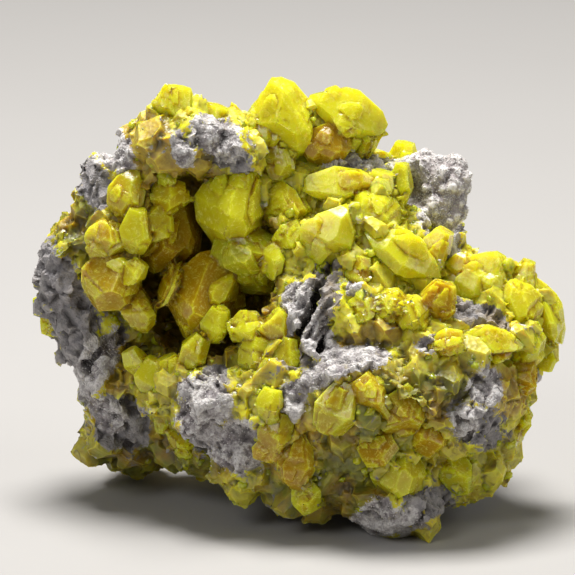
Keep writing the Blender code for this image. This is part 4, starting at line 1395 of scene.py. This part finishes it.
def tint_of(surface, picked, chance, spread):
    """How amber and how green a small crystal is, from the rock that it stands on."""
    count = len(picked)
    deep, stain, olive = (surface.at(name, picked) for name in ("hollow", "stain", "olive"))
    # Grains in the hollow and on the olive lower front turn more amber as painted shade, like the rock there;
    # on stains the brown is their own
    amber = 0.28 + 0.45 * deep + 0.35 * stain + 0.3 * olive
    amber = np.clip(amber + chance.normal(scale=spread, size=count), 0, 1)
    green = np.clip(0.10 + 0.3 * olive + chance.normal(scale=spread * 0.8, size=count), 0, 1)
    return np.stack([amber, green, chance.random(count)], axis=1)


def build_grains():
    """Sulfur grains in the chinks, and a few on the bare stone."""
    chance = np.random.default_rng(12)
    surface = Surface(bpy.data.objects["rock"].data)
    mesh, points = surface.mesh, surface.points
    weights = np.clip(1 - painted(mesh, "stony") * 0.97, 0.03, 1) * (1 - painted(mesh, "under"))
    weights *= (1 - painted(mesh, "crack")) * (0.3 + ramp(waves(points, 5 * MM, 41), -0.2, 0.5))
    weights *= 1 + 2 * painted(mesh, "collar")
    weights = weights * ramp(points[:, 2], 1.0 * MM, 4.0 * MM) + SLIGHT
    count = sizes().grains
    places, normals, picked = surface.spots(weights, count, chance)
    size = np.clip(chance.lognormal(mean=0.35, sigma=0.35, size=count), 0.8, 2.8) * MM
    spans = size[:, None] * chance.uniform(0.75, 1.25, size=(count, 3))
    places = places - normals * (size * 0.3)[:, None]
    rotations = toward(normals, chance, 0.8)
    tint = tint_of(surface, picked, chance, 0.12)
    obj = sprinkle("sulfur_grains", small_kinds(7, 0.2), places, rotations, spans, tint)
    paint(obj.data, "dust", np.ones(len(obj.data.vertices)))
    finish_piece(obj, material(sulfur_material), "sulfur")


def build_frost():
    """Short druse points on the knob and on the frosted parts of the rock."""
    chance = np.random.default_rng(23)
    kinds = [spike(chance) for _ in range(6)]
    parts = []
    for name, share, low, high in (("aragonite_knob", 0.4, 0.25, 0.6), ("rock", 0.6, 0.2, 0.55)):
        surface = Surface(bpy.data.objects[name].data)
        mesh = surface.mesh
        if name == "aragonite_knob":
            weights = 1 - 0.9 * painted(mesh, "amber")
        else:
            weights = np.clip(1 - painted(mesh, "crack") - painted(mesh, "under"), 0, 1)
            weights *= painted(mesh, "druse") ** 2
            weights *= ramp(surface.points[:, 2], 0.5 * MM, 3.0 * MM)
        count = int(sizes().points * share)
        places, normals, _ = surface.spots(weights + SLIGHT, count, chance)
        size = chance.uniform(low, high, size=count) * MM
        spans = size[:, None] * np.array([0.6, 0.6, 1.0])
        tint = np.stack([np.zeros(count), np.zeros(count), chance.random(count)], axis=1)
        parts.append((places, toward(normals, chance, 0.6), spans, tint))
    places, rotations, spans, tint = (np.concatenate(column) for column in zip(*parts))
    obj = sprinkle("druse_points", kinds, places, rotations, spans, tint)
    finish_piece(obj, material(druse_material), "aragonite")


FLOOR_REACH = 3.0  # from the specimen to the floor's edge, in metres
SEEN_WIDTH = 0.09583  # what the camera sees from side to side at the specimen, in metres
SEEN_MIDDLE = (-1.6, 36.9, 0.0)  # the middle of the picture: across, up and back, in mm
LIT_MIDDLE = Vector((0, 0, 0.035))  # where the lights point
# The soft lights: place and width in metres, power in watts, and colour.
LIGHTS = (
    ("key", (-0.05, 0.12, 0.75), 0.30, 10.8, (1.0, 0.98, 0.95)),
    ("front", (-0.45, -0.60, 0.60), 0.35, 1.8, (1.0, 1.0, 1.0)),
    ("side", (0.65, -0.15, 0.40), 0.30, 1.0, (1.0, 1.0, 1.0)),
)


def build_stage():
    """A pale floor, a large soft light above and behind, a soft fill, and the camera."""
    scene = bpy.context.scene
    bm = bmesh.new()
    bmesh.ops.create_grid(bm, x_segments=8, y_segments=8, size=FLOOR_REACH)
    mesh = bpy.data.meshes.new("floor")
    bm.to_mesh(mesh)
    bm.free()
    floor = bpy.data.objects.new("floor", mesh)
    scene.collection.objects.link(floor)
    floor.data.materials.append(material(floor_material))

    for name, place, size, power, colour in LIGHTS:
        lamp = bpy.data.lights.new(name, "AREA")
        lamp.size = size
        lamp.energy = power
        lamp.color = colour
        light = bpy.data.objects.new(name, lamp)
        light.location = place
        light.rotation_mode = "QUATERNION"
        light.rotation_quaternion = (Vector(place) - LIT_MIDDLE).to_track_quat("Z", "Y")
        scene.collection.objects.link(light)

    world = bpy.data.worlds.new("studio")
    world.use_nodes = True
    sky = world.node_tree.nodes["Background"].inputs
    sky["Color"].default_value = (1.0, 0.98, 0.96, 1)
    sky["Strength"].default_value = 0.10
    scene.world = world
    scene.view_settings.view_transform = "Standard"

    lens = bpy.data.cameras.new("camera")
    lens.lens = lens.sensor_width * sizes().view_distance / SEEN_WIDTH
    camera = bpy.data.objects.new("camera", lens)
    ahead = Vector((0, math.cos(SHOW_PITCH), -math.sin(SHOW_PITCH)))
    camera.location = seen(*SEEN_MIDDLE) - ahead * sizes().view_distance
    camera.rotation_euler = (math.radians(90) - SHOW_PITCH, 0, 0)
    scene.collection.objects.link(camera)
    scene.camera = camera


# ---- add-on --------------------------------------------------------------------------------------


class Maker:
    """What the operators share: a failed piece stops the script."""

    bl_options = {"REGISTER", "UNDO"}


class SULFUR_OT_rock(Maker, bpy.types.Operator):
    """Builds the limestone with its massive sulfur, druse, hollow and crack"""

    bl_idname = "sulfur.rock"
    bl_label = "Rock"

    def execute(self, context):
        build_rock()
        return {"FINISHED"}


class SULFUR_OT_knob(Maker, bpy.types.Operator):
    """Builds the knob of aragonite"""

    bl_idname = "sulfur.knob"
    bl_label = "Aragonite Knob"

    def execute(self, context):
        build_knob()
        return {"FINISHED"}


class SULFUR_OT_crystals(Maker, bpy.types.Operator):
    """Grows the groups of large crystals, and the smaller ones of the ledges"""

    bl_idname = "sulfur.crystals"
    bl_label = "Large Crystals"

    def execute(self, context):
        for name, members in numbered_crystals().items():
            fine = sizes().crystal_grain
            obj = grow_group(name, members, fine * LEDGE_COARSER if name == LEDGE else fine)
            obj.name = name + "_grown"
            finish_piece(obj, material(sulfur_material), "sulfur", *([name] if name in GROUPS else []))
        return {"FINISHED"}


class SULFUR_OT_grains(Maker, bpy.types.Operator):
    """Sprinkles small sulfur crystals over the rock"""

    bl_idname = "sulfur.grains"
    bl_label = "Small Crystals"

    def execute(self, context):
        build_grains()
        return {"FINISHED"}


class SULFUR_OT_frost(Maker, bpy.types.Operator):
    """Sets druse points on the knob and the frosted rock"""

    bl_idname = "sulfur.frost"
    bl_label = "Druse Points"

    def execute(self, context):
        build_frost()
        return {"FINISHED"}


class SULFUR_OT_stage(Maker, bpy.types.Operator):
    """Sets the pale floor, the soft lights and the camera"""

    bl_idname = "sulfur.stage"
    bl_label = "Stage"

    def execute(self, context):
        build_stage()
        return {"FINISHED"}


OPERATORS = (
    SULFUR_OT_rock,
    SULFUR_OT_knob,
    SULFUR_OT_crystals,
    SULFUR_OT_grains,
    SULFUR_OT_frost,
    SULFUR_OT_stage,
)


class SULFUR_PT_panel(bpy.types.Panel):
    """Lists the pieces of the specimen"""

    bl_label = "Sulfur Specimen"
    bl_idname = "SULFUR_PT_panel"
    bl_space_type = "VIEW_3D"
    bl_region_type = "UI"
    bl_category = "Sulfur"

    def draw(self, context):
        for operator in OPERATORS:
            self.layout.operator(operator.bl_idname)
        for group in (context.scene.sulfur_sizes, context.scene.sulfur_colours):
            for key in group.__annotations__:
                self.layout.prop(group, key)


CLASSES = (SulfurSizes, SulfurColours, *OPERATORS, SULFUR_PT_panel)


def register():
    for cls in CLASSES:
        bpy.utils.register_class(cls)
    bpy.types.Scene.sulfur_sizes = PointerProperty(type=SulfurSizes)
    bpy.types.Scene.sulfur_colours = PointerProperty(type=SulfurColours)


def unregister():
    del bpy.types.Scene.sulfur_colours
    del bpy.types.Scene.sulfur_sizes
    for cls in reversed(CLASSES):
        bpy.utils.unregister_class(cls)


def main():
    register()
    for step in OPERATORS:
        group, name = step.bl_idname.split(".")
        getattr(getattr(bpy.ops, group), name)()


if __name__ == "__main__":
    main()
